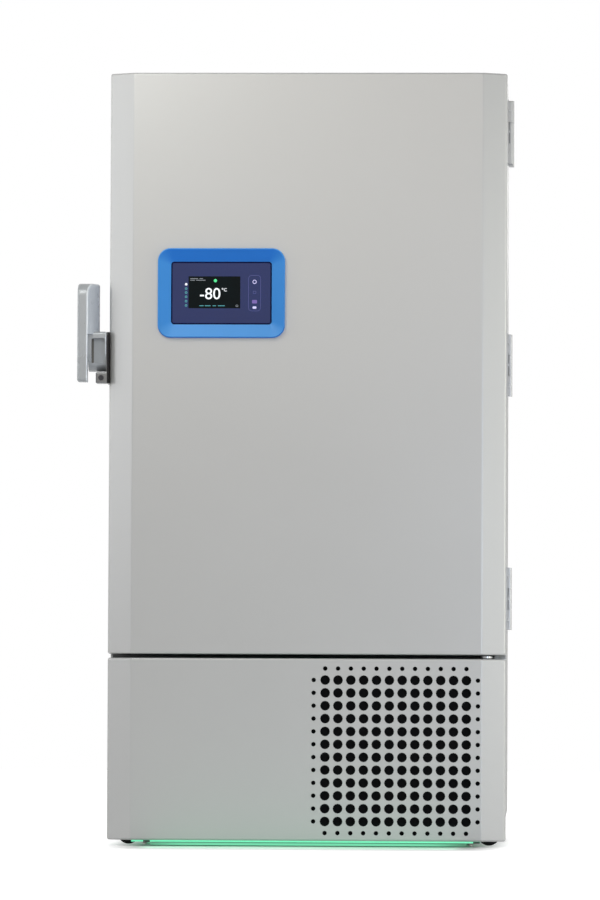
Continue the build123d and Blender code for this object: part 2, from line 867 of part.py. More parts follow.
handle_foot = latch_bottom + handle_foot_gap
grip_low = housing_top - housing_round
with BuildPart() as handle:
    with BuildSketch(level(handle_foot)):
        rect(left - handle_out, left - handle_bar_in, *bar_y)
        rect(left - handle_leg_out, left - handle_leg_in, *leg_y)
        make_hull()
    extrude(amount=handle_top - handle_foot)
    with BuildSketch(across(left)) as side_view:
        rect(bar_y[0], leg_y[1], handle_foot, handle_top)
        for corner, radius in (((bar_y[0], handle_foot), handle_foot_round),
                               ((bar_y[0], handle_top), handle_crest_round),
                               ((leg_y[1], handle_top), handle_shoulder_round)):
            fillet(side_view.vertices().sort_by_distance(corner)[0], radius)
    extrude(amount=-handle_out, mode=Mode.INTERSECT)
    uprights = handle.edges().filter_by(Axis.Z).sort_by(Axis.Y)
    fillet(uprights[:2], handle_edge_round)
    below_grip = (handle_foot - 1, grip_low)
    block(left - handle_bar_in, left, bar_y[0] - 1, leg_y[1] + 1, *below_grip, mode=Mode.SUBTRACT)
    block(left - handle_out - 1, left, bar_y[1], leg_y[1] + 1, *below_grip, mode=Mode.SUBTRACT)
    slant = handle.edges().filter_by(Axis.Z).sort_by(Axis.X)[-2:].sort_by(Axis.Y)
    fillet(slant[0], handle_leg_round)
    add(housing.part)
    with BuildSketch(across(left - claw_in)):
        rect(pivot_y, claw_end, claw_low, claw_low + claw_height)
        rect(claw_end - claw_hook, claw_end, handle_pivot_height - strike_radius, claw_low)
    extrude(amount=-(claw_out - claw_in))
    rod((left - latch_plate - 1, pivot_y, handle_pivot_height), (left - 1, pivot_y, handle_pivot_height),
        handle_pivot_radius)
save("handle_lever", handle)

with BuildPart() as strike:
    with BuildSketch(across(left)):
        rect(strike_y - strike_plate_front, strike_y + strike_plate_back,
             handle_pivot_height - strike_plate_half, handle_pivot_height + strike_plate_half,
             strike_plate_round)
    extrude(amount=-strike_plate)
    rod((left, strike_y, handle_pivot_height), (left - strike_length, strike_y, handle_pivot_height),
        strike_radius)
    rod((left - strike_length, strike_y, handle_pivot_height),
        (left - strike_length - strike_head, strike_y, handle_pivot_height), strike_radius + strike_head)
save("latch_strike", strike)

# Lower front panel: bevelled sheet with the perforated grille, hung on two pins

panel_outer = bevelled_body(panel_bottom, panel_top, panel_depth)
panel_core = bevelled_body(panel_bottom, panel_top, panel_depth, sheet)
grille_span = grille_pitch * (grille_count - 1)
grille_x = middle + grille_first_x + grille_span / 2
grille_z = grille_low_z + grille_span / 2
border_span = grille_span / 2 + grille_border
tab_low = base_height + (rail_height - panel_tab) / 2
lug_low = tab_low + panel_tab + lug_gap
lug_front = face + facet_depth + panel_lug_setback
gap_middle = (panel_top + door_bottom) / 2

with BuildPart() as panel:
    add(panel_outer)
    add(panel_core, mode=Mode.SUBTRACT)
    with BuildSketch(facing(face)):
        with Locations((grille_x, grille_z)):
            with GridLocations(grille_pitch, grille_pitch, grille_count, grille_count):
                RegularPolygon(grille_hole, 12)
            with GridLocations(2 * border_span, grille_pitch, 2, grille_count):
                RegularPolygon(grille_small_hole, 8)
            with GridLocations(grille_pitch, 2 * border_span, grille_count, 2):
                RegularPolygon(grille_small_hole, 8)
    extrude(amount=-2 * sheet, mode=Mode.SUBTRACT)
    for low in (panel_top - sheet - panel_lug, lug_low):
        with BuildSketch(level(low)):
            rect(panel_x - panel_tab_width / 2, panel_x + panel_tab_width / 2, lug_front, panel_pin_y)
            with Locations((panel_x, panel_pin_y)):
                Circle(panel_tab_width / 2)
            rect(panel_x - panel_tab_width / 2, right - sheet, lug_front, panel_pin_y)
        extrude(amount=panel_lug)
    rod((panel_x, panel_pin_y, lug_low - 1), (panel_x, panel_pin_y, panel_top + 1),
        panel_pin_radius + running_clearance, mode=Mode.SUBTRACT)
    block(right - 2 * sheet, right + sheet, panel_pin_y - hinge_slot, face + panel_depth + sheet,
          tab_low - lug_gap, lug_low, mode=Mode.SUBTRACT)
save("front_panel", panel)

with BuildPart() as panel_brackets:
    with BuildSketch(level(gap_middle - panel_tab / 2)):
        rect(panel_x - panel_tab_width / 2, panel_x + panel_tab_width / 2, panel_pin_y, cabinet_front)
        with Locations((panel_x, panel_pin_y)):
            Circle(panel_tab_width / 2)
    extrude(amount=panel_tab)
    rod((panel_x, panel_pin_y, panel_top - sheet - panel_lug), (panel_x, panel_pin_y, gap_middle),
        panel_pin_radius)
    rod((panel_x, panel_pin_y, panel_top + soft_clearance), (panel_x, panel_pin_y, gap_middle),
        panel_pin_radius + panel_collar)
    with BuildSketch(level(tab_low)):
        rect(panel_x - panel_tab_width / 2, panel_x + panel_tab_width / 2, panel_pin_y, cabinet_front)
        with Locations((panel_x, panel_pin_y)):
            Circle(panel_tab_width / 2)
    extrude(amount=panel_tab)
    rod((panel_x, panel_pin_y, tab_low), (panel_x, panel_pin_y, lug_low + panel_lug), panel_pin_radius)
save("panel_hinge_brackets", panel_brackets)

filter_half = border_span + grille_small_hole + filter_margin
with BuildPart() as air_filter:
    with BuildSketch(facing(face + filter_gap + filter_depth)):
        rect(grille_x - filter_half, grille_x + filter_half - filter_hinge_room, panel_bottom + sheet,
             grille_z + filter_half, filter_round)
    extrude(amount=filter_depth)
save("air_filter", air_filter)

with BuildPart() as light_strip:
    block(middle - light_half_width, middle + light_half_width, face + edge_round,
          face + edge_round + light_depth, panel_bottom - light_height, panel_bottom)
save("light_strip", light_strip)

# Base frame: two side rails, two cross rails and the deck on them

rail_low = base_height
rail_high = base_height + rail_height
base_left = left + sheet
base_right = right - sheet
base_front = cabinet_front + sheet
base_back = cabinet_back - sheet
foot_y = base_front + foot_depth_in
feet = [(middle - foot_x, foot_y), (middle + foot_x, foot_y)]
with BuildPart() as base:
    with BuildSketch(level(rail_low)):
        rect(base_left, base_right, base_front, base_back)
        rect(base_left + rail_width, base_right - rail_width, base_front + cross_rail_width,
             base_back - cross_rail_width, mode=Mode.SUBTRACT)
    extrude(amount=rail_sheet)
    with BuildSketch(level(rail_low - foot_nut)):
        with Locations(*feet):
            RegularPolygon(stem_nut, 6)
    extrude(amount=foot_nut)
    with BuildSketch(level(rail_low - foot_nut)):
        with Locations(*feet):
            Circle(stem_radius + running_clearance)
    extrude(amount=foot_nut + rail_sheet, mode=Mode.SUBTRACT)
    with BuildSketch(level(rail_low)):
        rect(base_left, base_right, base_front, base_back)
        offset(amount=-rail_sheet, kind=Kind.INTERSECTION, mode=Mode.SUBTRACT)
    extrude(amount=rail_height)
    with BuildSketch(level(rail_high)):
        rect(base_left, base_right, base_front, base_back)
    extrude(amount=deck_sheet)
save("base_frame", base)

# Casters: swivelling forks in front, fixed forks behind, and four wheels

plate_low = base_height - caster_plate_sheet
fork_top = plate_low - swivel_gap
fork_low = 2 * wheel_radius + wheel_top_gap
cheek_top = fork_top - swivel_shoulder
cheek_in = wheel_width / 2 + fork_side_gap
front_y = cabinet_front + caster_depth_in
rear_y = cabinet_back - caster_depth_in
caster_left = left + caster_inset
caster_right = right - caster_inset


def fork(plan, along, trail):
    """A caster fork whose wheel rolls along the given direction, its axle set back by the trail."""
    upright = Plane(origin=(plan[0], plan[1], 0), x_dir=along, z_dir=Vector(*along).cross(Vector(0, 0, 1)))
    with BuildPart() as piece:
        for side in (-1, 1):
            start = upright.offset(side * cheek_in if side > 0 else -cheek_in - fork_sheet)
            with BuildSketch(start):
                with Locations((trail, wheel_radius)):
                    Circle(hub_radius)
                rect(-swivel_radius, swivel_radius + trail / 2, fork_low, cheek_top)
                make_hull()
            extrude(amount=fork_sheet)
        with BuildSketch(upright.offset(-cheek_in - fork_sheet)):
            rect(-swivel_radius, swivel_radius + trail / 2, fork_low, cheek_top)
        extrude(amount=2 * (cheek_in + fork_sheet))
        with BuildSketch(level(fork_low)):
            with Locations(plan):
                Circle(swivel_radius)
        extrude(amount=fork_top - fork_low)
        with BuildSketch(upright.offset(-cheek_in - fork_sheet - axle_end)):
            with Locations((trail, wheel_radius)):
                Circle(axle_radius)
        extrude(amount=2 * (cheek_in + fork_sheet + axle_end))
    return piece


def wheel(plan, along, trail):
    """A caster wheel with a bevelled tread and a hub boss on each side."""
    centre = Vector(plan[0], plan[1], wheel_radius) + Vector(*along) * trail
    side = Vector(*along).cross(Vector(0, 0, 1))
    hub_half = cheek_in - soft_clearance
    with BuildPart() as piece:
        with BuildSketch(Plane(origin=centre, x_dir=along, z_dir=side).offset(-wheel_width / 2)):
            Circle(wheel_radius)
        extrude(amount=wheel_width)
        chamfer(piece.edges(), tread_bevel)
        rod(centre - side * hub_half, centre + side * hub_half, hub_radius)
        rod(centre - side * cheek_in, centre + side * cheek_in, axle_radius + running_clearance,
            mode=Mode.SUBTRACT)
    return piece


front_casters = {"left": ((caster_left, front_y), (-1, 0, 0)), "right": ((caster_right, front_y), (1, 0, 0))}
for side, (plan, along) in front_casters.items():
    swivel = fork(plan, along, caster_trail)
    with BuildPart() as caster_fork:
        add(swivel.part)
        rod((*plan, fork_low - 1), (*plan, fork_top + 1), kingpin_radius + running_clearance,
            mode=Mode.SUBTRACT)
    save(f"front_caster_fork_{side}", caster_fork)
    save(f"front_wheel_{side}", wheel(plan, along, caster_trail))

rear_casters = {"left": (caster_left, rear_y), "right": (caster_right, rear_y)}
for side, plan in rear_casters.items():
    save(f"rear_wheel_{side}", wheel(plan, (0, 1, 0), 0))

with BuildPart() as caster_plates:
    for plan in [corner[0] for corner in front_casters.values()] + list(rear_casters.values()):
        with BuildSketch(level(plate_low)):
            with Locations(plan):
                RectangleRounded(caster_plate, caster_plate, caster_plate_round)
        extrude(amount=caster_plate_sheet)
    for plan, along in front_casters.values():
        rod((*plan, fork_low), (*plan, plate_low), kingpin_radius)
    for plan in rear_casters.values():
        add(fork(plan, (0, 1, 0), 0).part)
        rod((*plan, fork_low), (*plan, plate_low), swivel_radius)
save("caster_mounts", caster_plates)

# Levelling feet, screwed down to the floor through their nuts

for side, plan in zip(("left", "right"), feet):
    with BuildPart() as foot:
        rod((*plan, 0), (*plan, foot_pad), foot_radius)
        chamfer(foot.edges().sort_by(Axis.Z)[-1], foot_bevel)
        rod((*plan, foot_pad), (*plan, rail_high - stem_room - foot_travel), stem_radius)
    save(f"levelling_foot_{side}", foot)

# Refrigeration in the base: two compressors, condenser with its fan, heat exchanger and pipes

can_low = deck_top + grommet_height + foot_plate
can_top = can_low + compressor_height
compressors_at = [(middle + x, face + compressor_depth_in) for x in compressor_x]
stub_top = can_top + stub_height
shoulder = compressor_radius - compressor_dome
dome = [
    (shoulder + compressor_dome * cos(radians(rise)), can_top - compressor_dome * (1 - sin(radians(rise))))
    for rise in (0, 30, 60, 90)
]
with BuildPart() as compressors:
    for x, y in compressors_at:
        with BuildSketch(Plane(origin=(x, y, 0), x_dir=(1, 0, 0), z_dir=(0, -1, 0))):
            with BuildLine():
                Polyline((0, can_top), (0, can_low), (compressor_radius - compressor_heel, can_low),
                         (compressor_radius, can_low + compressor_heel), *dome, close=True)
            make_face()
        revolve(axis=Axis((x, y, 0), (0, 0, 1)))
        with BuildSketch(level(can_low - foot_plate)):
            with Locations((x, y)):
                RectangleRounded(2 * compressor_radius, 2 * compressor_radius, foot_plate_round)
        extrude(amount=foot_plate)
        with BuildSketch(level(deck_top)):
            with Locations((x, y)):
                with GridLocations(2 * foot_offset, 2 * foot_offset, 2, 2):
                    Circle(grommet_radius)
        extrude(amount=grommet_height)
        for dx in (-stub_x, stub_x):
            rod((x + dx, y, can_top - 1), (x + dx, y, stub_top), pipe_radius + stub_wall)
        block(x - terminal_width / 2, x + terminal_width / 2, y - compressor_radius - terminal_out,
              y - compressor_radius + terminal_root, can_low + terminal_low, can_low + terminal_high)
save("compressors", compressors)

coil_x = middle + condenser_x
coil_y = cabinet_front + condenser_depth_in
coil_top = deck_top + condenser_height
tube_pitch = condenser_height / tube_rows
with BuildPart() as condenser:
    with BuildSketch(level(deck_top)):
        with Locations((coil_x, coil_y + condenser_depth / 2)):
            with GridLocations(condenser_width / (fin_count - 1), 1, fin_count, 1):
                Rectangle(fin_sheet, condenser_depth)
    extrude(amount=condenser_height)
    with BuildSketch(level(coil_top - fin_sheet)):
        rect(coil_x - condenser_width / 2, coil_x + condenser_width / 2, coil_y, coil_y + condenser_depth)
    extrude(amount=fin_sheet)
    with BuildSketch(across(coil_x - condenser_width / 2 - tube_end)):
        for row in range(tube_rows):
            with Locations((coil_y + condenser_depth / 2, deck_top + tube_pitch * (row + 0.5))):
                RegularPolygon(tube_radius, 8)
    extrude(amount=condenser_width + 2 * tube_end)
save("condenser_coil", condenser)

fan_z = deck_top + condenser_height / 2
shroud_front = coil_y + condenser_depth
shroud_back = shroud_front + shroud_depth
fan_y = shroud_front + shroud_depth / 2
ring_radius = fan_radius + fan_tip_gap
with BuildPart() as shroud:
    block(coil_x - condenser_width / 2, coil_x + condenser_width / 2, shroud_front, shroud_back,
          deck_top, coil_top)
    block(coil_x - condenser_width / 2 + shroud_sheet, coil_x + condenser_width / 2 - shroud_sheet,
          shroud_front, shroud_back - shroud_sheet, deck_top + shroud_sheet, coil_top - shroud_sheet,
          mode=Mode.SUBTRACT)
    rod((coil_x, shroud_front + ring_setback, fan_z), (coil_x, shroud_back, fan_z),
        ring_radius + shroud_sheet)
    rod((coil_x, shroud_front, fan_z), (coil_x, shroud_back, fan_z), ring_radius, mode=Mode.SUBTRACT)
save("fan_shroud", shroud)

arm_back = shroud_back + arm_depth
with BuildPart() as motor:
    rod((coil_x, arm_back, fan_z), (coil_x, arm_back + motor_depth, fan_z), motor_radius)
    chamfer(motor.edges().filter_by(GeomType.CIRCLE).group_by(Axis.Y)[-1], motor_bevel)
    with BuildSketch(facing(arm_back)):
        for turn in (0, 90):
            with Locations(Location((coil_x, fan_z), turn)):
                Rectangle(2 * (ring_radius + arm_over), arm_width)
        with Locations((coil_x, fan_z)):
            Circle(motor_radius)
    extrude(amount=arm_depth)
    rod((coil_x, shroud_back - 1, fan_z), (coil_x, arm_back + fan_shaft_reach + 1, fan_z),
        fan_shaft_radius + running_clearance, mode=Mode.SUBTRACT)
save("fan_motor", motor)

with BuildPart() as fan:
    rod((coil_x, fan_y - fan_depth / 2, fan_z), (coil_x, fan_y + fan_depth / 2, fan_z), fan_hub_radius)
    chamfer(fan.edges().filter_by(GeomType.CIRCLE).group_by(Axis.Y)[0], fan_hub_bevel)
    rod((coil_x, fan_y, fan_z), (coil_x, arm_back + fan_shaft_reach, fan_z), fan_shaft_radius)
    lead_tip = (fan_radius - blade_lead_in, blade_lead)
    trail_tip = (fan_radius - blade_trail_in, -blade_trail)
    for k in range(fan_blades):
        turn = radians(360 / fan_blades * k)
        out = Vector(cos(turn), 0, sin(turn))
        round_way = Vector(-sin(turn), 0, cos(turn))
        pitched = round_way * sin(radians(blade_pitch)) + Vector(0, 1, 0) * cos(radians(blade_pitch))
        underside = Vector(coil_x, fan_y, fan_z) - pitched * (blade_sheet / 2)
        blade = Plane(origin=underside, x_dir=out, z_dir=pitched)
        with BuildSketch(blade):
            with BuildLine():
                Polyline(trail_tip, (fan_hub_radius - blade_root, -blade_root_half),
                         (fan_hub_radius - blade_root, blade_root_half), lead_tip)
                ThreePointArc(lead_tip, (fan_radius - blade_tip_gap, 0), trail_tip)
            make_face()
        extrude(amount=blade_sheet)
save("condenser_fan", fan)

exchanger_at = (middle + exchanger_x, face + compressor_depth_in)
exchanger_top = deck_top + exchanger_height
with BuildPart() as exchanger:
    rod((*exchanger_at, deck_top), (*exchanger_at, exchanger_top), exchanger_radius)
    chamfer(exchanger.edges().filter_by(GeomType.CIRCLE).sort_by(Axis.Z)[-1], exchanger_bevel)
    with BuildSketch(level(deck_top)):
        with Locations(exchanger_at):
            RectangleRounded(exchanger_foot, exchanger_foot, exchanger_foot_round)
    extrude(amount=exchanger_foot_sheet)
save("interstage_heat_exchanger", exchanger)

pipe_level = stub_top + pipe_rise
first, second = compressors_at


def pipe(start, finish, height, start_z, finish_z):
    """A pipe that rises from one stub, runs level in plan and drops on to another."""
    points = [(start[0], start[1], start_z), (start[0], start[1], height)]
    if abs(start[0] - finish[0]) > 1 and abs(start[1] - finish[1]) > 1:
        points.append((start[0], finish[1], height))
    points += [(finish[0], finish[1], height), (finish[0], finish[1], finish_z)]
    with BuildPart() as piece:
        with BuildLine() as route:
            FilletPolyline(*points, radius=pipe_bend)
        with BuildSketch(Plane(origin=points[0], z_dir=(0, 0, 1))):
            Circle(pipe_radius)
        sweep(path=route.line)
    return piece.part


with BuildPart() as pipes:
    add(pipe((first[0] + stub_x, first[1]), (exchanger_at[0] - exchanger_port, exchanger_at[1]), pipe_level,
             stub_top, exchanger_top))
    add(pipe((second[0] - stub_x, second[1]), (exchanger_at[0] + exchanger_port, exchanger_at[1]), pipe_level,
             stub_top, exchanger_top))
    add(pipe((second[0] + stub_x, second[1]), (second[0] + stub_x, coil_y + condenser_depth / 2), pipe_level,
             stub_top, coil_top))
save("refrigerant_pipes", pipes)

box_left = base_left + box_inset
box_front = base_front + box_inset
with BuildPart() as electrical:
    with BuildSketch(level(deck_top)):
        rect(box_left, box_left + box_width, box_front, box_front + box_depth, box_round)
    extrude(amount=box_height)
    with BuildSketch(facing(box_front)):
        rect(box_left - box_lid_over, box_left + box_width + box_lid_over, deck_top + box_lid_drop,
             deck_top + box_height - box_lid_drop, box_lid_round)
    extrude(amount=box_lid)
save("electrical_box", electrical)

# Rear: power inlet with its rocker switch, and the wall bumpers

inlet_x = middle + inlet_offset
inlet_z = deck_top + inlet_height
inlet_back = cabinet_back + inlet_depth
rocker_z = inlet_z + rocker_rise
rocker_y = inlet_back - rocker_setback
with BuildPart() as inlet:
    with BuildSketch(facing(cabinet_back)):
        rect(inlet_x - inlet_half, inlet_x + inlet_half, inlet_z - inlet_margin,
             rocker_z + inlet_margin, inlet_round)
    extrude(amount=-inlet_depth)
    with BuildSketch(facing(inlet_back)):
        rect(inlet_x - socket_half, inlet_x + socket_half, inlet_z - socket_half_height,
             inlet_z + socket_half_height, socket_round)
    extrude(amount=inlet_depth - socket_floor, mode=Mode.SUBTRACT)
    with BuildSketch(facing(inlet_back - socket_floor)):
        with Locations((inlet_x, inlet_z)):
            with GridLocations(contact_pitch, 1, 3, 1):
                Rectangle(contact_width, contact_height)
    extrude(amount=inlet_depth - 2 * socket_floor)
    with BuildSketch(facing(inlet_back)):
        rect(inlet_x - rocker_width / 2 - rocker_side_gap, inlet_x + rocker_width / 2 + rocker_side_gap,
             rocker_z - rocker_half - rocker_end_gap, rocker_z + rocker_half + rocker_end_gap)
    extrude(amount=inlet_depth - rocker_floor, mode=Mode.SUBTRACT)
    pin_end = rocker_width / 2 + rocker_pin_reach + rocker_side_gap
    rod((inlet_x - pin_end, rocker_y, rocker_z), (inlet_x + pin_end, rocker_y, rocker_z),
        rocker_pin + running_clearance, mode=Mode.SUBTRACT)
save("power_inlet", inlet)

pin_end = rocker_width / 2 + rocker_pin_reach
key_half = rocker_half - rocker_end_gap
with BuildPart() as rocker:
    with BuildSketch(across(inlet_x - rocker_width / 2)):
        with Locations(Location((rocker_y, rocker_z), rocker_tilt)):
            Polygon((-rocker_back, -key_half), (rocker_front, -key_half), (rocker_dip, 0),
                    (rocker_front, key_half), (-rocker_back, key_half), align=None)
            Circle(rocker_pin + rocker_pin_boss)
    extrude(amount=rocker_width)
    rod((inlet_x - pin_end, rocker_y, rocker_z), (inlet_x + pin_end, rocker_y, rocker_z), rocker_pin)
save("power_rocker", rocker)

bumper_z = storage_top - bumper_drop
with BuildPart() as bumpers:
    with BuildSketch(facing(cabinet_back)):
        with Locations((middle - bumper_x, bumper_z), (middle + bumper_x, bumper_z)):
            RectangleRounded(bumper_width, bumper_height, bumper_round)
    extrude(amount=-bumper_depth, taper=bumper_taper)
save("wall_bumpers", bumpers)
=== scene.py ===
"""Looks for an upright ultra low temperature freezer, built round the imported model.

Metres, +Z up, front towards -Y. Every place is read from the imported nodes' boxes, so the pieces
follow the solids that carry them.
"""

import json
import math

import bmesh
import bpy
from mathutils import Matrix, Vector


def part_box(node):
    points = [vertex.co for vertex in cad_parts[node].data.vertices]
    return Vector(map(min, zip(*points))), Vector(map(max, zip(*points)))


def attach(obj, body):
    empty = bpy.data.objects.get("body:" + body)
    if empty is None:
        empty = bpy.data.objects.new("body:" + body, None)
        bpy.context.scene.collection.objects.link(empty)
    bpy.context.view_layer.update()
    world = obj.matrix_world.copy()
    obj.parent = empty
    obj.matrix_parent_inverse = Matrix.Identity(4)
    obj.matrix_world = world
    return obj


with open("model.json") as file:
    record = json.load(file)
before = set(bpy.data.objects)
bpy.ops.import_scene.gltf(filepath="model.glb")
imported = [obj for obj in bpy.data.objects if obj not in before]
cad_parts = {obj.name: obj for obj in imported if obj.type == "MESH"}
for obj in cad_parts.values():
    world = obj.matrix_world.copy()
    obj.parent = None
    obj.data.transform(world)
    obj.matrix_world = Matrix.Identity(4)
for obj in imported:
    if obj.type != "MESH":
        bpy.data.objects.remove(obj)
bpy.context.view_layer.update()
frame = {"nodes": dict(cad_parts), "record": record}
nodes = frame["nodes"]
MM = 0.001

UP = Vector((0, 0, 1))
FRONT = Vector((0, -1, 0))
BACK = Vector((0, 1, 0))
LEFT = Vector((-1, 0, 0))
RIGHT = Vector((1, 0, 0))


# Camera and stage

CAMERA_AT = Vector((0.605, -14.469, 0.409))
CAMERA_PITCH = math.radians(2.465)
CAMERA_YAW = math.radians(2.419)
CAMERA_ROLL = math.radians(0.254)
CAMERA_FOCAL_PX = 5486.2
CAMERA_FAR = 60.0
PHOTO_HEIGHT_PX = 900.0
SENSOR_HEIGHT = 36.0

WHITE = (1, 1, 1)
WORLD_TINT = (0.97, 0.985, 1.0)
WORLD_LIGHT = 0.11
FLOOR_HALF = 12.0
FLOOR_PAINT = (0.72, 0.72, 0.72)
SHADOW_START = 0.11
SHADOW_SIDE = 0.17
SHADOW_FRONT = 0.55


def add_camera():
    """A long lens far in front of the door, low down, turned a little to the left and tipped up."""
    forward_flat = Vector((-math.sin(CAMERA_YAW), math.cos(CAMERA_YAW), 0))
    right_flat = Vector((math.cos(CAMERA_YAW), math.sin(CAMERA_YAW), 0))
    forward = forward_flat * math.cos(CAMERA_PITCH) + UP * math.sin(CAMERA_PITCH)
    up_flat = -forward_flat * math.sin(CAMERA_PITCH) + UP * math.cos(CAMERA_PITCH)
    right = right_flat * math.cos(CAMERA_ROLL) + up_flat * math.sin(CAMERA_ROLL)
    up = -right_flat * math.sin(CAMERA_ROLL) + up_flat * math.cos(CAMERA_ROLL)
    data = bpy.data.cameras.new("camera")
    data.sensor_fit = "VERTICAL"
    data.sensor_height = SENSOR_HEIGHT
    data.lens = CAMERA_FOCAL_PX / PHOTO_HEIGHT_PX * SENSOR_HEIGHT
    data.clip_end = CAMERA_FAR
    camera = bpy.data.objects.new("camera", data)
    bpy.context.scene.collection.objects.link(camera)
    camera.matrix_world = Matrix.Translation(CAMERA_AT) @ Matrix((right, up, -forward)).transposed().to_4x4()
    bpy.context.scene.camera = camera


def add_light(name, at, aim, size, power, colour=WHITE):
    """A soft rectangular studio light turned towards a point."""
    data = bpy.data.lights.new(name, "AREA")
    data.shape = "RECTANGLE"
    data.size, data.size_y = size
    data.energy = power
    data.color = colour
    lamp = bpy.data.objects.new(name, data)
    bpy.context.scene.collection.objects.link(lamp)
    lamp.location = at
    lamp.rotation_euler = (Vector(aim) - Vector(at)).to_track_quat("-Z", "Y").to_euler()


def computed(tree, operation, *values):
    """The result of a sum on values, each of them an output in the tree or a plain number."""
    node = tree.nodes.new("ShaderNodeMath")
    node.operation = operation
    for socket, value in zip(node.inputs, values):
        if isinstance(value, bpy.types.NodeSocket):
            tree.links.new(value, socket)
        else:
            socket.default_value = value
    return node.outputs[0]


def seen_directly(tree):
    """A value that is 1 for rays from the camera, a mirror or a clear piece, and 0 for the rest."""
    path = tree.nodes.new("ShaderNodeLightPath")
    seen = path.outputs["Is Camera Ray"]
    for ray in ("Is Glossy Ray", "Is Transmission Ray"):
        seen = computed(tree, "MAXIMUM", seen, path.outputs[ray])
    return seen


def add_world():
    """A white room for the eye and for reflections, and a softer light for the rest."""
    world = bpy.data.worlds.new("studio")
    bpy.context.scene.world = world
    world.use_nodes = True
    tree = world.node_tree
    tree.nodes.clear()
    out = tree.nodes.new("ShaderNodeOutputWorld")
    mix = tree.nodes.new("ShaderNodeMixShader")
    tree.links.new(seen_directly(tree), mix.inputs[0])
    for socket, tint, strength in ((mix.inputs[1], WORLD_TINT, WORLD_LIGHT), (mix.inputs[2], WHITE, 1.0)):
        background = tree.nodes.new("ShaderNodeBackground")
        background.inputs["Color"].default_value = (*tint, 1)
        background.inputs["Strength"].default_value = strength
        tree.links.new(background.outputs[0], socket)
    tree.links.new(mix.outputs[0], out.inputs[0])


def fall_off(tree, value, start, reach, outwards):
    """A value that falls from 1 at the start to 0 a reach further on, upwards or downwards."""
    fall = tree.nodes.new("ShaderNodeMapRange")
    fall.interpolation_type = "SMOOTHSTEP"
    fall.inputs["From Min"].default_value = start + reach * outwards
    fall.inputs["From Max"].default_value = start
    tree.links.new(value, fall.inputs["Value"])
    return fall.outputs[0]


def add_floor():
    """A pale floor, white to the eye except under the freezer and close round it, where its cast shadow lies and a
    fading white lift paints a soft shadow.
    """
    mesh = bpy.data.meshes.new("floor")
    mesh.from_pydata([(FLOOR_HALF * x, FLOOR_HALF * y, 0) for x, y in ((-1, -1), (1, -1), (1, 1), (-1, 1))],
                     [], [(0, 1, 2, 3)])
    floor = bpy.data.objects.new("floor", mesh)
    bpy.context.scene.collection.objects.link(floor)
    material = bpy.data.materials.new("floor")
    material.use_nodes = True
    tree = material.node_tree
    tree.nodes.clear()
    out = tree.nodes.new("ShaderNodeOutputMaterial")
    paint = tree.nodes.new("ShaderNodeBsdfDiffuse")
    paint.inputs["Color"].default_value = (*FLOOR_PAINT, 1)
    place_of = tree.nodes.new("ShaderNodeTexCoord")
    split = tree.nodes.new("ShaderNodeSeparateXYZ")
    tree.links.new(place_of.outputs["Object"], split.inputs[0])
    across, along = split.outputs[0], split.outputs[1]
    lowest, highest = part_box("front_panel")[0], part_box("side_panel_right")[1]
    # Painted shadow: the white lift fades out near the freezer, so the floor there shows grey beyond its cast
    # shadow.
    shadow = 1.0
    for value, edge, start, reach, outwards in ((across, lowest.x, SHADOW_START, SHADOW_SIDE, -1),
                                                (across, highest.x, SHADOW_START, SHADOW_SIDE, 1),
                                                (along, lowest.y, 0.0, SHADOW_FRONT, -1),
                                                (along, highest.y, SHADOW_START, SHADOW_FRONT, 1)):
        side = fall_off(tree, value, edge - start * outwards, reach, outwards)
        shadow = computed(tree, "MULTIPLY", shadow, side)
    white = computed(tree, "MULTIPLY", seen_directly(tree), computed(tree, "SUBTRACT", 1.0, shadow))
    lift = tree.nodes.new("ShaderNodeEmission")
    lift.inputs["Color"].default_value = (*WHITE, 1)
    tree.links.new(white, lift.inputs["Strength"])
    total = tree.nodes.new("ShaderNodeAddShader")
    tree.links.new(paint.outputs[0], total.inputs[0])
    tree.links.new(lift.outputs[0], total.inputs[1])
    tree.links.new(total.outputs[0], out.inputs[0])
    mesh.materials.append(material)


bpy.context.scene.view_settings.view_transform = "Standard"
add_camera()
add_world()
add_floor()
add_light("key", at=(-1.0, -2.1, 2.8), aim=(-0.2, -0.45, 1.85), size=(1.1, 1.1), power=20.5,
          colour=(0.98, 1.0, 0.96))
add_light("fill", at=(1.5, -2.6, 0.85), aim=(0.5, -0.45, 0.9), size=(0.8, 1.2), power=12,
          colour=(0.68, 0.79, 1.0))
add_light("broad", at=(0.0, -5.0, 2.5), aim=(0.0, -0.45, 1.4), size=(3.0, 2.0), power=19,
          colour=(1.0, 0.87, 0.72))
add_light("front_left", at=(-3.1, -1.6, 1.7), aim=(-0.5, -0.4, 1.2), size=(1.4, 2.0), power=17.5,
          colour=(0.96, 0.97, 1.0))
add_light("front_right", at=(3.3, -1.3, 1.2), aim=(0.5, -0.4, 1.0), size=(1.4, 2.0), power=33,
          colour=(1.0, 0.99, 0.88))
add_light("side_left", at=(-3.5, 0.9, 1.8), aim=(-0.5, 0.0, 1.0), size=(1.6, 1.6), power=12)
add_light("top_back", at=(1.2, 4.0, 2.8), aim=(0.0, 0.45, 1.1), size=(2.2, 2.2), power=62)
add_light("glow", at=(0.02, -0.30, 0.06), aim=(0.02, -0.30, 0.0), size=(0.78, 0.32), power=0.95,
          colour=(0.24, 0.92, 0.54))
add_light("glow_front", at=(0.02, -0.57, 0.012), aim=(0.02, -0.57, 0.0), size=(0.80, 0.18), power=0.26,
          colour=(0.20, 0.92, 0.50))


# Finishes

CLOUD_DETAIL = 4.0
CLOUD_LOW, CLOUD_HIGH = 0.3, 0.7
COAT_ROUGHNESS = 0.12
SMOOTHEST = 0.02
BUMP_STRENGTH = 0.6


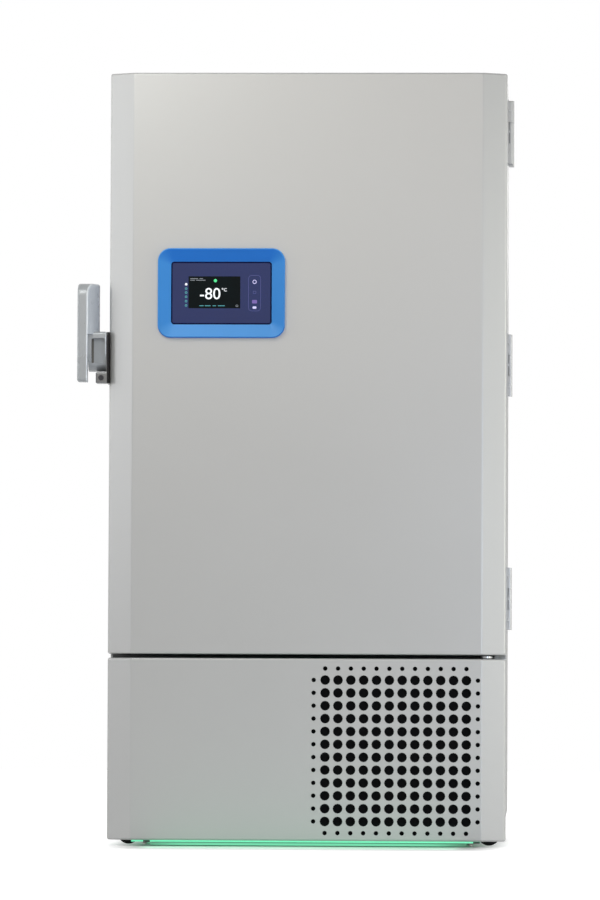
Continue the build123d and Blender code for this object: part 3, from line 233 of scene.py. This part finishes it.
def mixed(tree, factor, first, second, blend="MIX"):
    """A colour mixed from two, by a factor. The factor and the second may be plain values."""
    mix = tree.nodes.new("ShaderNodeMix")
    mix.data_type = "RGBA"
    mix.blend_type = blend
    for socket, value in (("Factor", factor), ("A", first), ("B", second)):
        if isinstance(value, bpy.types.NodeSocket):
            tree.links.new(value, mix.inputs[socket])
        else:
            mix.inputs[socket].default_value = value
    return mix.outputs["Result"]


def along_axis(tree, vector, axis):
    """One of the three parts of a vector."""
    split = tree.nodes.new("ShaderNodeSeparateXYZ")
    tree.links.new(vector, split.inputs[0])
    return split.outputs[axis]


def painted_lean_light_colour(tree, normal, axis, reach, painted_light_levels):
    """Painted light and shade: a colour that runs through painted light levels as the faces lean from down an axis
    to up it.
    """
    share = tree.nodes.new("ShaderNodeMapRange")
    share.inputs["From Min"].default_value = -reach
    share.inputs["From Max"].default_value = reach
    tree.links.new(along_axis(tree, normal, axis), share.inputs["Value"])
    scale = tree.nodes.new("ShaderNodeValToRGB")
    for k in range(1, len(painted_light_levels) - 1):
        scale.color_ramp.elements.new(k / (len(painted_light_levels) - 1))
    for stop, shade in zip(scale.color_ramp.elements, painted_light_levels):
        stop.color = (*shade, 1)
    tree.links.new(share.outputs[0], scale.inputs["Fac"])
    return scale.outputs[0]


def finish(name, colour, roughness, metallic=0.0, grain=(900.0, 0.02), mottle=(4.0, 0.03), stretch=(1, 1, 1),
           cells=False, coat=0.0, sheen=0.0, glow=None, specular=0.5, wear=0.08, beyond=None, painted_lean_light=None):
    """A finish with cloudy colour, uneven roughness and a fine surface grain, all in the object's own space.

    The grain is its scale per metre and its depth in millimetres. Cells give a spangled or foamed grain.
    The mottle is the clouds' scale and their share of the colour. Wear is how much the roughness varies.
    Beyond is an axis, a place on it and the colour of the plain stuff past that place. The painted lean light is
    an axis, a lean and the levels of painted light and shade, multiplied into the colour, for the faces from
    that lean down the axis to the same lean up it.
    """
    material = bpy.data.materials.new(name)
    material.use_nodes = True
    tree = material.node_tree
    tree.nodes.clear()
    add = tree.nodes.new
    link = tree.links.new
    out = add("ShaderNodeOutputMaterial")
    shader = add("ShaderNodeBsdfPrincipled")
    link(shader.outputs[0], out.inputs[0])
    shader.inputs["Metallic"].default_value = metallic
    shader.inputs["Coat Weight"].default_value = coat
    shader.inputs["Coat Roughness"].default_value = COAT_ROUGHNESS
    shader.inputs["Sheen Weight"].default_value = sheen
    shader.inputs["Specular IOR Level"].default_value = specular
    place_of = add("ShaderNodeTexCoord")
    turned = add("ShaderNodeMapping")
    turned.inputs["Scale"].default_value = stretch
    link(place_of.outputs["Object"], turned.inputs["Vector"])

    cloud = add("ShaderNodeTexNoise")
    cloud.inputs["Scale"].default_value = mottle[0]
    cloud.inputs["Detail"].default_value = CLOUD_DETAIL
    link(turned.outputs[0], cloud.inputs["Vector"])
    tint = add("ShaderNodeValToRGB")
    darker, lighter = tint.color_ramp.elements
    darker.position, lighter.position = CLOUD_LOW, CLOUD_HIGH
    darker.color = (*[part * (1 - mottle[1]) for part in colour], 1)
    lighter.color = (*[min(1, part * (1 + mottle[1])) for part in colour], 1)
    link(cloud.outputs["Fac"], tint.inputs["Fac"])
    painted = tint.outputs[0]
    if beyond:
        axis, start, other = beyond
        past = computed(tree, "GREATER_THAN", along_axis(tree, place_of.outputs["Object"], axis), start)
        painted = mixed(tree, past, painted, (*other, 1))
        link(computed(tree, "MULTIPLY_ADD", past, -metallic, metallic), shader.inputs["Metallic"])
    # Painted light and shade: the colour is made lighter or darker by the way each face leans.
    if painted_lean_light:
        axis, reach, *painted_light_levels = painted_lean_light
        painted = mixed(tree, 1.0, painted, painted_lean_light_colour(tree, place_of.outputs["Normal"], axis, reach, painted_light_levels),
                        "MULTIPLY")
    link(painted, shader.inputs["Base Color"])

    fine = add("ShaderNodeTexVoronoi" if cells else "ShaderNodeTexNoise")
    fine.inputs["Scale"].default_value = grain[0]
    link(turned.outputs[0], fine.inputs["Vector"])
    bump = add("ShaderNodeBump")
    bump.inputs["Strength"].default_value = BUMP_STRENGTH
    bump.inputs["Distance"].default_value = grain[1] * MM
    link(fine.outputs["Distance" if cells else "Fac"], bump.inputs["Height"])
    link(bump.outputs[0], shader.inputs["Normal"])

    spread = add("ShaderNodeMapRange")
    spread.inputs["From Min"].default_value = CLOUD_LOW
    spread.inputs["From Max"].default_value = CLOUD_HIGH
    spread.inputs["To Min"].default_value = max(SMOOTHEST, roughness - wear / 2)
    spread.inputs["To Max"].default_value = min(1.0, roughness + wear / 2)
    link(cloud.outputs["Fac"], spread.inputs["Value"])
    link(spread.outputs[0], shader.inputs["Roughness"])
    if glow:
        shader.inputs["Emission Color"].default_value = (*glow[0], 1)
        shader.inputs["Emission Strength"].default_value = glow[1]
    return material


BRUSHED = (1.0, 1.0, 60.0)
LATCH_RIM = 0.0052
latch_low, latch_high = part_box("latch_base")
looks = {
    "door_steel": dict(colour=(0.525, 0.527, 0.522), roughness=0.38, metallic=0.3, grain=(700, 0.012),
                       mottle=(1.3, 0.015), wear=0.04),
    "cabinet_steel": dict(colour=(0.50, 0.502, 0.498), roughness=0.55, metallic=0.1, grain=(700, 0.012),
                          mottle=(1.3, 0.02), specular=0.25),
    "galvanised": dict(colour=(0.42, 0.435, 0.445), roughness=0.45, metallic=0.55, grain=(70, 0.03),
                       mottle=(90, 0.06), cells=True, wear=0.12),
    "base_steel": dict(colour=(0.016, 0.016, 0.018), roughness=0.55, grain=(1400, 0.06), mottle=(9, 0.15),
                       specular=0.2),
    "foam": dict(colour=(0.80, 0.70, 0.42), roughness=0.9, grain=(420, 0.5), mottle=(30, 0.10), cells=True,
                 specular=0.2),
    "liner_plastic": dict(colour=(0.78, 0.79, 0.80), roughness=0.35, grain=(500, 0.05), mottle=(2, 0.02)),
    "breaker_plastic": dict(colour=(0.62, 0.63, 0.64), roughness=0.5, grain=(900, 0.08), mottle=(5, 0.03)),
    "gasket": dict(colour=(0.018, 0.018, 0.02), roughness=0.62, grain=(600, 0.12), mottle=(20, 0.25), sheen=0.2),
    "inner_gasket": dict(colour=(0.30, 0.31, 0.33), roughness=0.6, grain=(600, 0.12), mottle=(20, 0.10), sheen=0.2),
    "stainless": dict(colour=(0.60, 0.61, 0.61), roughness=0.34, metallic=0.9, grain=(120, 0.005), mottle=(5, 0.04),
                      stretch=BRUSHED, wear=0.10),
    "inner_door_white": dict(colour=(0.80, 0.81, 0.82), roughness=0.38, grain=(650, 0.06), mottle=(3, 0.02)),
    "catch_plastic": dict(colour=(0.05, 0.055, 0.065), roughness=0.42, grain=(1100, 0.08), mottle=(12, 0.12)),
    "hinge_metal": dict(colour=(0.46, 0.465, 0.47), roughness=0.36, metallic=0.4, grain=(1100, 0.03),
                        mottle=(10, 0.04)),
    # Painted highlight: the handle's faces that lean towards +X, its slanted side, are painted about twice as
    # light.
    "handle_metal": dict(colour=(0.41, 0.43, 0.45), roughness=0.28, metallic=0.12, grain=(1700, 0.03),
                         mottle=(14, 0.05), wear=0.10, coat=0.3,
                         painted_lean_light=(0, 0.8, WHITE, WHITE, WHITE, (2.1, 2.1, 2.1), (1.7, 1.72, 1.8))),
    # Painted shade: darker colours laid on the floor of the handle's pocket to stand in for the shade in the
    # recess.
    "handle_recess_painted_shade": dict(colour=(0.33, 0.35, 0.37), roughness=0.40, metallic=0.12, grain=(1700, 0.03),
                          mottle=(14, 0.05)),
    "handle_shade": dict(colour=(0.105, 0.102, 0.092), roughness=0.5, metallic=0.12, grain=(1700, 0.03),
                         mottle=(14, 0.05)),
    "latch_metal": dict(colour=(0.16, 0.163, 0.166), roughness=0.30, metallic=0.85, grain=(1700, 0.04),
                        mottle=(14, 0.06), wear=0.12, specular=0.15,
                        beyond=(0, latch_high.x - LATCH_RIM, (0.008, 0.008, 0.009))),
    "lock_metal": dict(colour=(0.035, 0.035, 0.04), roughness=0.34, metallic=0.6, grain=(2200, 0.03),
                       mottle=(40, 0.15)),
    # Painted shade and light: the bezel's faces that lean down are painted darker, those that lean up lighter.
    "bezel_blue": dict(colour=(0.048, 0.30, 0.80), roughness=0.40, grain=(1300, 0.02), mottle=(5, 0.05),
                       specular=0.35, painted_lean_light=(2, 0.25, (0.25, 0.62, 0.86), WHITE, (1.9, 1.3, 1.14))),
    "display_glass": dict(colour=(0.010, 0.026, 0.140), roughness=0.12, grain=(300, 0.004), mottle=(4, 0.10),
                          specular=0.24, wear=0.03),
    "glass_edge": dict(colour=(0.001, 0.004, 0.040), roughness=0.5, grain=(900, 0.05), mottle=(30, 0.2),
                       specular=0.05),
    "display_screen": dict(colour=(0.0005, 0.005, 0.007), roughness=0.15, grain=(300, 0.003), mottle=(25, 0.3),
                           specular=0.06, wear=0.03),
    "light_diffuser": dict(colour=(0.22, 0.60, 0.42), roughness=0.55, grain=(900, 0.05), mottle=(12, 0.05),
                           glow=((0.11, 0.62, 0.33), 1.0)),
    "filter_mesh": dict(colour=(0.006, 0.006, 0.007), roughness=0.85, grain=(650, 0.5), mottle=(120, 0.4),
                        cells=True, specular=0.1),
    "compressor_black": dict(colour=(0.012, 0.012, 0.014), roughness=0.28, grain=(350, 0.10), mottle=(9, 0.25),
                             coat=0.4),
    "copper": dict(colour=(0.62, 0.26, 0.13), roughness=0.33, metallic=0.95, grain=(600, 0.05), mottle=(25, 0.18),
                   wear=0.2),
    "fin_aluminium": dict(colour=(0.66, 0.68, 0.70), roughness=0.36, metallic=0.9, grain=(400, 0.05),
                          mottle=(30, 0.08)),
    "fan_plastic": dict(colour=(0.012, 0.012, 0.013), roughness=0.5, grain=(900, 0.10), mottle=(15, 0.2)),
    "electrical_grey": dict(colour=(0.42, 0.44, 0.46), roughness=0.5, grain=(1000, 0.10), mottle=(6, 0.04)),
    "inlet_plastic": dict(colour=(0.010, 0.010, 0.011), roughness=0.42, grain=(1200, 0.10), mottle=(15, 0.2)),
    "caster_zinc": dict(colour=(0.42, 0.42, 0.40), roughness=0.36, metallic=0.9, grain=(500, 0.05),
                        mottle=(45, 0.14), wear=0.2),
    "wheel_rubber": dict(colour=(0.007, 0.007, 0.008), roughness=0.65, grain=(700, 0.15), mottle=(35, 0.3),
                         specular=0.12),
    "bumper_rubber": dict(colour=(0.012, 0.012, 0.012), roughness=0.65, grain=(700, 0.15), mottle=(25, 0.3)),
}

# Marks on the screen: the colour and the strength of their light

lit_colours = {
    "lit_white": ((0.92, 0.95, 1.0), 1.0),
    "lit_green": ((0.05, 0.72, 0.25), 1.0),
    "lit_teal": ((0.04, 0.30, 0.34), 0.9),
    "lit_grey": ((0.32, 0.36, 0.40), 0.6),
    "lit_violet": ((0.16, 0.10, 0.42), 0.8),
    "lit_line": ((0.05, 0.07, 0.30), 0.8),
    "lit_lavender": ((0.60, 0.58, 0.95), 1.0),
}
UNLIT = 0.2
for lit, glow in lit_colours.items():
    looks[lit] = dict(colour=[part * UNLIT for part in glow[0]], roughness=0.2, grain=(300, 0.002),
                      mottle=(60, 0.1), glow=glow)

finishes = {name: finish(name, **look) for name, look in looks.items()}

for part in frame["record"]["subparts"]:
    mesh = nodes[part["node"]].data
    mesh.materials.clear()
    mesh.materials.append(finishes[part["material_slot"]])

bodies_of = {node: body for body, members in frame["record"]["behaviour"]["bodies"].items() for node in members}


# Small pieces, each made once as a mesh and placed against the node that carries it

SUNK = 0.2 * MM

# A pan head: its height and its socket's reach as shares of the radius, the socket's floor as a share of the
# height, and its outline as shares of both
PAN_HEIGHT, SOCKET_REACH, SOCKET_FLOOR = 0.55, 0.48, 0.15
PAN_OUTLINE = ((1.0, 0.45), (0.93, 0.8), (0.75, 1.0))


def place(name, mesh, slot, carrier, at, facing=UP, smooth=True, look=None):
    """Puts a mesh, built with its outside towards +Z, at a point of its carrier, facing along a direction.

    A look is the name of a finish other than the slot's own.
    """
    piece = bpy.data.objects.new(name, mesh)
    bpy.context.scene.collection.objects.link(piece)
    piece.matrix_world = Matrix.Translation(at) @ facing.to_track_quat("Z", "Y").to_matrix().to_4x4()
    mesh.materials.clear()
    mesh.materials.append(finishes[look or slot])
    mesh.polygons.foreach_set("use_smooth", [smooth] * len(mesh.polygons))
    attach(piece, bodies_of[carrier])


def circle(radius, steps=36):
    """The outline of a circle about the origin."""
    return [(radius * math.cos(2 * math.pi * k / steps), radius * math.sin(2 * math.pi * k / steps))
            for k in range(steps)]


def hexagon(reach, steps):
    """The outline of a hexagon about the origin, with as many points as a circle has."""
    outline = []
    half_side = math.pi / 6
    for k in range(steps):
        turn = 2 * math.pi * k / steps
        radius = reach * math.cos(half_side) / math.cos((turn % (2 * half_side)) - half_side)
        outline.append((radius * math.cos(turn), radius * math.sin(turn)))
    return outline


def rounded(width, height, radius, steps=8):
    """The outline of a rounded rectangle about the origin."""
    points = []
    for turn, (sx, sy) in enumerate(((1, 1), (-1, 1), (-1, -1), (1, -1))):
        for k in range(steps + 1):
            angle = math.pi / 2 * (turn + k / steps)
            points.append((sx * (width / 2 - radius) + radius * math.cos(angle),
                           sy * (height / 2 - radius) + radius * math.sin(angle)))
    return points


def ring(work, outline, height):
    """The points of an outline at a height."""
    return [work.verts.new((x, y, height)) for x, y in outline]


def band(work, low, high):
    """The faces between two rings, either of which may be a single point."""
    steps = max(len(low), len(high))
    for k in range(steps):
        corners = dict.fromkeys((low[k % len(low)], low[(k + 1) % len(low)],
                                 high[(k + 1) % len(high)], high[k % len(high)]))
        if len(corners) > 2:
            work.faces.new(list(corners))


def closed_mesh(name, work):
    """The mesh of finished faces, all turned outwards."""
    mesh = bpy.data.meshes.new(name)
    bmesh.ops.recalc_face_normals(work, faces=work.faces)
    work.to_mesh(mesh)
    work.free()
    return mesh


def turned_mesh(name, profile, steps=32):
    """A round piece from radius and height pairs, turned about +Z."""
    work = bmesh.new()
    rings = [ring(work, circle(radius, steps) if radius else [(0, 0)], height) for radius, height in profile]
    for low, high in zip(rings, rings[1:]):
        band(work, low, high)
    return closed_mesh(name, work)


def screw_mesh(name, radius, steps=24):
    """A pan head with a hexagonal socket, standing on its carrier's face."""
    height = radius * PAN_HEIGHT
    work = bmesh.new()
    rings = [ring(work, circle(radius, steps), -SUNK)]
    rings += [ring(work, circle(radius * wide, steps), height * up) for wide, up in PAN_OUTLINE]
    rings += [ring(work, hexagon(radius * SOCKET_REACH, steps), height * up) for up in (1.0, SOCKET_FLOOR)]
    for low, high in zip(rings, rings[1:]):
        band(work, low, high)
    work.faces.new(rings[-1])
    work.faces.new(list(reversed(rings[0])))
    return closed_mesh(name, work)


def flat_mesh(name, outline, thickness, hole=None):
    """A thin plate of an outline in X and Y, with an optional hole of as many points, on its own back face."""
    work = bmesh.new()
    back, front = ring(work, outline, 0), ring(work, outline, thickness)
    band(work, back, front)
    if hole:
        inner_back, inner_front = ring(work, hole, 0), ring(work, hole, thickness)
        band(work, inner_front, inner_back)
        band(work, front, inner_front)
        band(work, inner_back, back)
    else:
        work.faces.new(front)
        work.faces.new(list(reversed(back)))
    return closed_mesh(name, work)


def middle(box):
    """The middle of a box, given as its lowest and highest corners."""
    low, high = box
    return (low + high) / 2


# Screen: lit marks on the glass, in millimetres across and up from the middle of the window

MARK_PROUD = 0.25 * MM
CAP_SHARE = 0.70
STROKE_GROWTH = 0.1 * MM
screen_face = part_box("display_screen")[0].y
screen_middle = middle(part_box("display_screen"))


def mark(name, mesh, lit, across, up):
    """A lit mark on the face of the display."""
    place(name, mesh, "display_screen", "display_screen",
          (screen_middle.x + across * MM, screen_face, screen_middle.z + up * MM), FRONT, smooth=False, look=lit)


def lettering(name, text, cap_height, lit, across, up):
    """Generic figures on the screen, turned into a thin mesh."""
    curve = bpy.data.curves.new(name, "FONT")
    curve.body = text
    curve.size = cap_height * MM / CAP_SHARE
    curve.offset = STROKE_GROWTH
    curve.align_x = "CENTER"
    curve.align_y = "CENTER"
    curve.extrude = MARK_PROUD
    holder = bpy.data.objects.new(name + "_curve", curve)
    bpy.context.scene.collection.objects.link(holder)
    mesh = bpy.data.meshes.new_from_object(holder.evaluated_get(bpy.context.evaluated_depsgraph_get()))
    mesh.name = name
    bpy.data.objects.remove(holder)
    mark(name, mesh, lit, across, up)


def disc(radius):
    """A circle of a radius in millimetres."""
    return circle(radius * MM)


def bar(width, height, radius):
    """A rounded rectangle in millimetres."""
    return rounded(width * MM, height * MM, radius * MM)


LINES = ((20, -52, 35), (9, -34, 35), (12, -56, 31), (24, -35, 31))
FOOT_BARS = ((11, -33), (15, -17), (9, 0), (18, 18))
FOOT_UP = -34.5
DOT_COLUMN = -72.5
DOTS_UP = (20.6, 9.5, -0.7, -11.5, -22.8, -33.8)
KEY_COLUMN = 103.0

lettering("screen_figures", "-80", 29, "lit_white", -11, -5)
lettering("screen_unit", "C", 8, "lit_white", 28, 6)
for name, outline, hole, lit, across, up in (
        ("screen_degree", disc(2.1), disc(1.1), "lit_white", 21, 9),
        ("screen_status", disc(4.2), None, "lit_green", 2.5, 30),
        *((f"screen_line_{row}", bar(width, 1.6, 0.7), None, "lit_grey", across, up)
          for row, (width, across, up) in enumerate(LINES)),
        *((f"screen_foot_{row}", bar(width, 2.0, 0.9), None, "lit_teal", across, FOOT_UP)
          for row, (width, across) in enumerate(FOOT_BARS)),
        ("screen_corner", bar(6, 5, 1), bar(4, 3, 0.4), "lit_grey", 58, FOOT_UP),
        *((f"key_{row}", disc(3.1), disc(1.4 if row else 0.4), "lit_teal" if row else "lit_white", DOT_COLUMN, up)
          for row, up in enumerate(DOTS_UP)),
        ("key_outline", bar(32, 92, 9), bar(30, 90, 8), "lit_line", KEY_COLUMN, -2),
        ("key_ring", disc(5.2), disc(3.6), "lit_lavender", KEY_COLUMN, 27),
        ("key_dim", bar(8, 7, 2), bar(6, 5, 1), "lit_line", KEY_COLUMN, 0),
        ("key_violet", bar(13, 9, 2.5), None, "lit_violet", KEY_COLUMN, -24),
        ("key_lavender", bar(10, 6, 2.5), None, "lit_lavender", KEY_COLUMN, -39)):
    mark(name, flat_mesh(name, outline, MARK_PROUD, hole), lit, across, up)

# Dark seal round the edge of the glass

GLASS_ROUND = 8 * MM
EDGE_WIDE = 3.4 * MM
glass_low, glass_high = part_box("display_glass")
glass_wide, glass_tall = glass_high.x - glass_low.x, glass_high.z - glass_low.z
glass_middle = middle((glass_low, glass_high))
place("glass_edge", flat_mesh("glass_edge", rounded(glass_wide, glass_tall, GLASS_ROUND), MARK_PROUD,
                              rounded(glass_wide - 2 * EDGE_WIDE, glass_tall - 2 * EDGE_WIDE,
                                      GLASS_ROUND - EDGE_WIDE)),
      "display_glass", "display_glass", (glass_middle.x, glass_low.y, glass_middle.z), FRONT, smooth=False,
      look="glass_edge")


# Screws in the hinges

HINGE_SCREW = 4.5 * MM
HINGE_HEIGHT = 0.160
HINGE_OFFSETS = (-0.055, 0.0, 0.055)
HINGE_SCREW_IN = 0.015
LEAF = 0.003


def screw_row(stem, carrier, slot, radius, points, facing):
    """Screws at points on a face of their carrier."""
    mesh = screw_mesh(stem, radius)
    for k, at in enumerate(points):
        place(f"{stem}_{k}", mesh, slot, carrier, at, facing)


skin_low, skin_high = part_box("outer_door_skin")
door_leaf_low, door_leaf_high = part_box("door_hinge_leaves")
cabinet_leaf_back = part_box("cabinet_hinge_leaves")[1].y
hinge_z = [door_leaf_low.z + HINGE_HEIGHT / 2, (door_leaf_low.z + door_leaf_high.z) / 2,
           door_leaf_high.z - HINGE_HEIGHT / 2]
leaf_face = skin_high.x + LEAF
screw_row("door_hinge_screw", "door_hinge_leaves", "hinge_metal", HINGE_SCREW,
          [(leaf_face, door_leaf_low.y + HINGE_SCREW_IN, z + dz) for z in hinge_z for dz in HINGE_OFFSETS], RIGHT)
screw_row("cabinet_hinge_screw", "cabinet_hinge_leaves", "hinge_metal", HINGE_SCREW,
          [(leaf_face, cabinet_leaf_back - HINGE_SCREW_IN, z + dz) for z in hinge_z[:2] for dz in HINGE_OFFSETS],
          RIGHT)

# A dark sealing strip on the cabinet's front edge, seen through the gap between the door and the lower panel

SEAL_PROUD = 2.5 * MM
SEAL_ROUND = 2 * MM
SEAL_ABOVE_PANEL = 1 * MM
SEAL_LEFT_END, SEAL_RIGHT_END = 0.006, 0.030
side_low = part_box("side_panel_left")[0]
panel_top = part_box("front_panel")[1].z
seal_bottom, seal_top = panel_top + SEAL_ABOVE_PANEL, skin_low.z
seal_left, seal_right = skin_low.x + SEAL_LEFT_END, skin_high.x - SEAL_RIGHT_END
place("gap_seal", flat_mesh("gap_seal", rounded(seal_right - seal_left, seal_top - seal_bottom, SEAL_ROUND),
                            SEAL_PROUD),
      "gasket", "side_panel_left", ((seal_left + seal_right) / 2, side_low.y, (seal_bottom + seal_top) / 2), FRONT)

# Dark clips that hold the light strip, near its two ends

CLIP_WIDE, CLIP_SKIN, CLIP_ROUND = 18 * MM, 0.4 * MM, 1.5 * MM
CLIP_FROM_LEFT, CLIP_FROM_RIGHT = 0.039, 0.009
strip_low, strip_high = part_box("light_strip")
clip = flat_mesh("strip_clip", rounded(CLIP_WIDE, strip_high.y - strip_low.y + 2 * CLIP_SKIN, CLIP_ROUND),
                 strip_high.z - strip_low.z)
for side, x in (("left", strip_low.x + CLIP_FROM_LEFT), ("right", strip_high.x - CLIP_FROM_RIGHT)):
    place(f"strip_clip_{side}", clip, "gasket", "light_strip",
          (x, (strip_low.y + strip_high.y) / 2, strip_low.z - CLIP_SKIN))

# The filter's soft edge, a thin flap behind the grille's last row of small holes

FLAP_WIDE, FLAP_THICK, FLAP_HELD = 14.5 * MM, 1 * MM, 0.5 * MM
FLAP_SHORT, FLAP_ROUND = 8 * MM, 1 * MM
filter_low, filter_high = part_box("air_filter")
place("filter_flap", flat_mesh("filter_flap", rounded(FLAP_WIDE, filter_high.z - filter_low.z - FLAP_SHORT,
                                                      FLAP_ROUND), FLAP_THICK),
      "filter_mesh", "air_filter",
      (filter_high.x - FLAP_HELD + FLAP_WIDE / 2, filter_low.y + FLAP_THICK, (filter_low.z + filter_high.z) / 2),
      FRONT, smooth=False)

# Washer under, and pin cap over, the bracket tab that holds the lower panel's pin in the gap below the door

TAB_HALF, TAB_THICK = 0.015, 0.004
WASHER_BORE, WASHER_EDGE, WASHER_RADIUS = 7.4 * MM, 12.8 * MM, 13.2 * MM
WASHER_BEVEL, WASHER_GAP = 0.4 * MM, 0.5 * MM
CAP_PROFILE = ((0, -SUNK), (9.8 * MM, -SUNK), (10.0 * MM, 0.8 * MM), (8.8 * MM, 1.7 * MM), (5.0 * MM, 2.1 * MM),
               (0, 2.2 * MM))
bracket_low, bracket_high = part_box("panel_hinge_brackets")
pin = Vector((bracket_high.x - TAB_HALF, bracket_low.y + TAB_HALF, 0))
gap_middle = (panel_top + skin_low.z) / 2
washer_top = gap_middle - TAB_THICK / 2 - panel_top - WASHER_GAP
place("panel_washer", turned_mesh("panel_washer", [(WASHER_BORE, 0), (WASHER_EDGE, 0),
                                                   (WASHER_RADIUS, WASHER_BEVEL),
                                                   (WASHER_RADIUS, washer_top - WASHER_BEVEL),
                                                   (WASHER_EDGE, washer_top), (WASHER_BORE, washer_top),
                                                   (WASHER_BORE, 0)]),
      "hinge_metal", "panel_hinge_brackets", pin + UP * (panel_top + WASHER_GAP))
place("panel_pin_cap", turned_mesh("panel_pin_cap", CAP_PROFILE),
      "hinge_metal", "panel_hinge_brackets", pin + UP * (gap_middle + TAB_THICK / 2))

# Painted shade in the handle's pocket: a darker plate on its floor, with a painted shadow line along its outer side

POCKET_OUT, POCKET_BACK, POCKET_UP = 0.028, 0.0117, 0.0835
POCKET_WIDE, POCKET_TALL, SHADE_WIDE = 0.035, 0.062, 0.006
PLATE_ROUND, PLATE_THICK = 2.5 * MM, 0.2 * MM
pocket_middle = Vector((skin_low.x - POCKET_OUT, latch_low.y + POCKET_BACK, latch_low.z + POCKET_UP))
for name, wide, shift in (("handle_recess_painted_shade", POCKET_WIDE - SHADE_WIDE, SHADE_WIDE / 2),
                          ("handle_shade", SHADE_WIDE, (SHADE_WIDE - POCKET_WIDE) / 2)):
    place(name, flat_mesh(name, rounded(wide, POCKET_TALL, PLATE_ROUND), PLATE_THICK), "handle_metal",
          "handle_lever", pocket_middle + RIGHT * shift, FRONT, smooth=False, look=name)

# Screws in the strike plate, the back and the service sheet

STRIKE_SCREW, STRIKE_SCREW_UP = 4 * MM, 0.028
SHEET_SCREW, SHEET_SCREW_IN = 5 * MM, 0.020
BACK_SCREW_END, BACK_SCREW_UP = 0.06, 0.35
strike_middle = middle(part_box("latch_strike"))
screw_row("strike_screw", "latch_strike", "caster_zinc", STRIKE_SCREW,
          [(side_low.x - LEAF, strike_middle.y, strike_middle.z + dz)
           for dz in (-STRIKE_SCREW_UP, STRIKE_SCREW_UP)], LEFT)

back_low, back_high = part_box("back_panel")
back_middle = middle((back_low, back_high))
screw_row("back_screw", "back_panel", "caster_zinc", SHEET_SCREW,
          [(x, back_high.y, z) for x in (back_low.x + SHEET_SCREW_IN, back_high.x - SHEET_SCREW_IN)
           for z in (back_low.z + BACK_SCREW_END, back_middle.z - BACK_SCREW_UP, back_middle.z + BACK_SCREW_UP,
                     back_high.z - BACK_SCREW_END)], BACK)

service_low, service_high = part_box("rear_service_panel")
service_middle = middle((service_low, service_high))
screw_row("service_screw", "rear_service_panel", "caster_zinc", SHEET_SCREW,
          [(x, back_high.y, z)
           for x in (service_low.x + SHEET_SCREW_IN, service_middle.x, service_high.x - SHEET_SCREW_IN)
           for z in (service_low.z + SHEET_SCREW_IN, service_high.z - SHEET_SCREW_IN)], BACK)
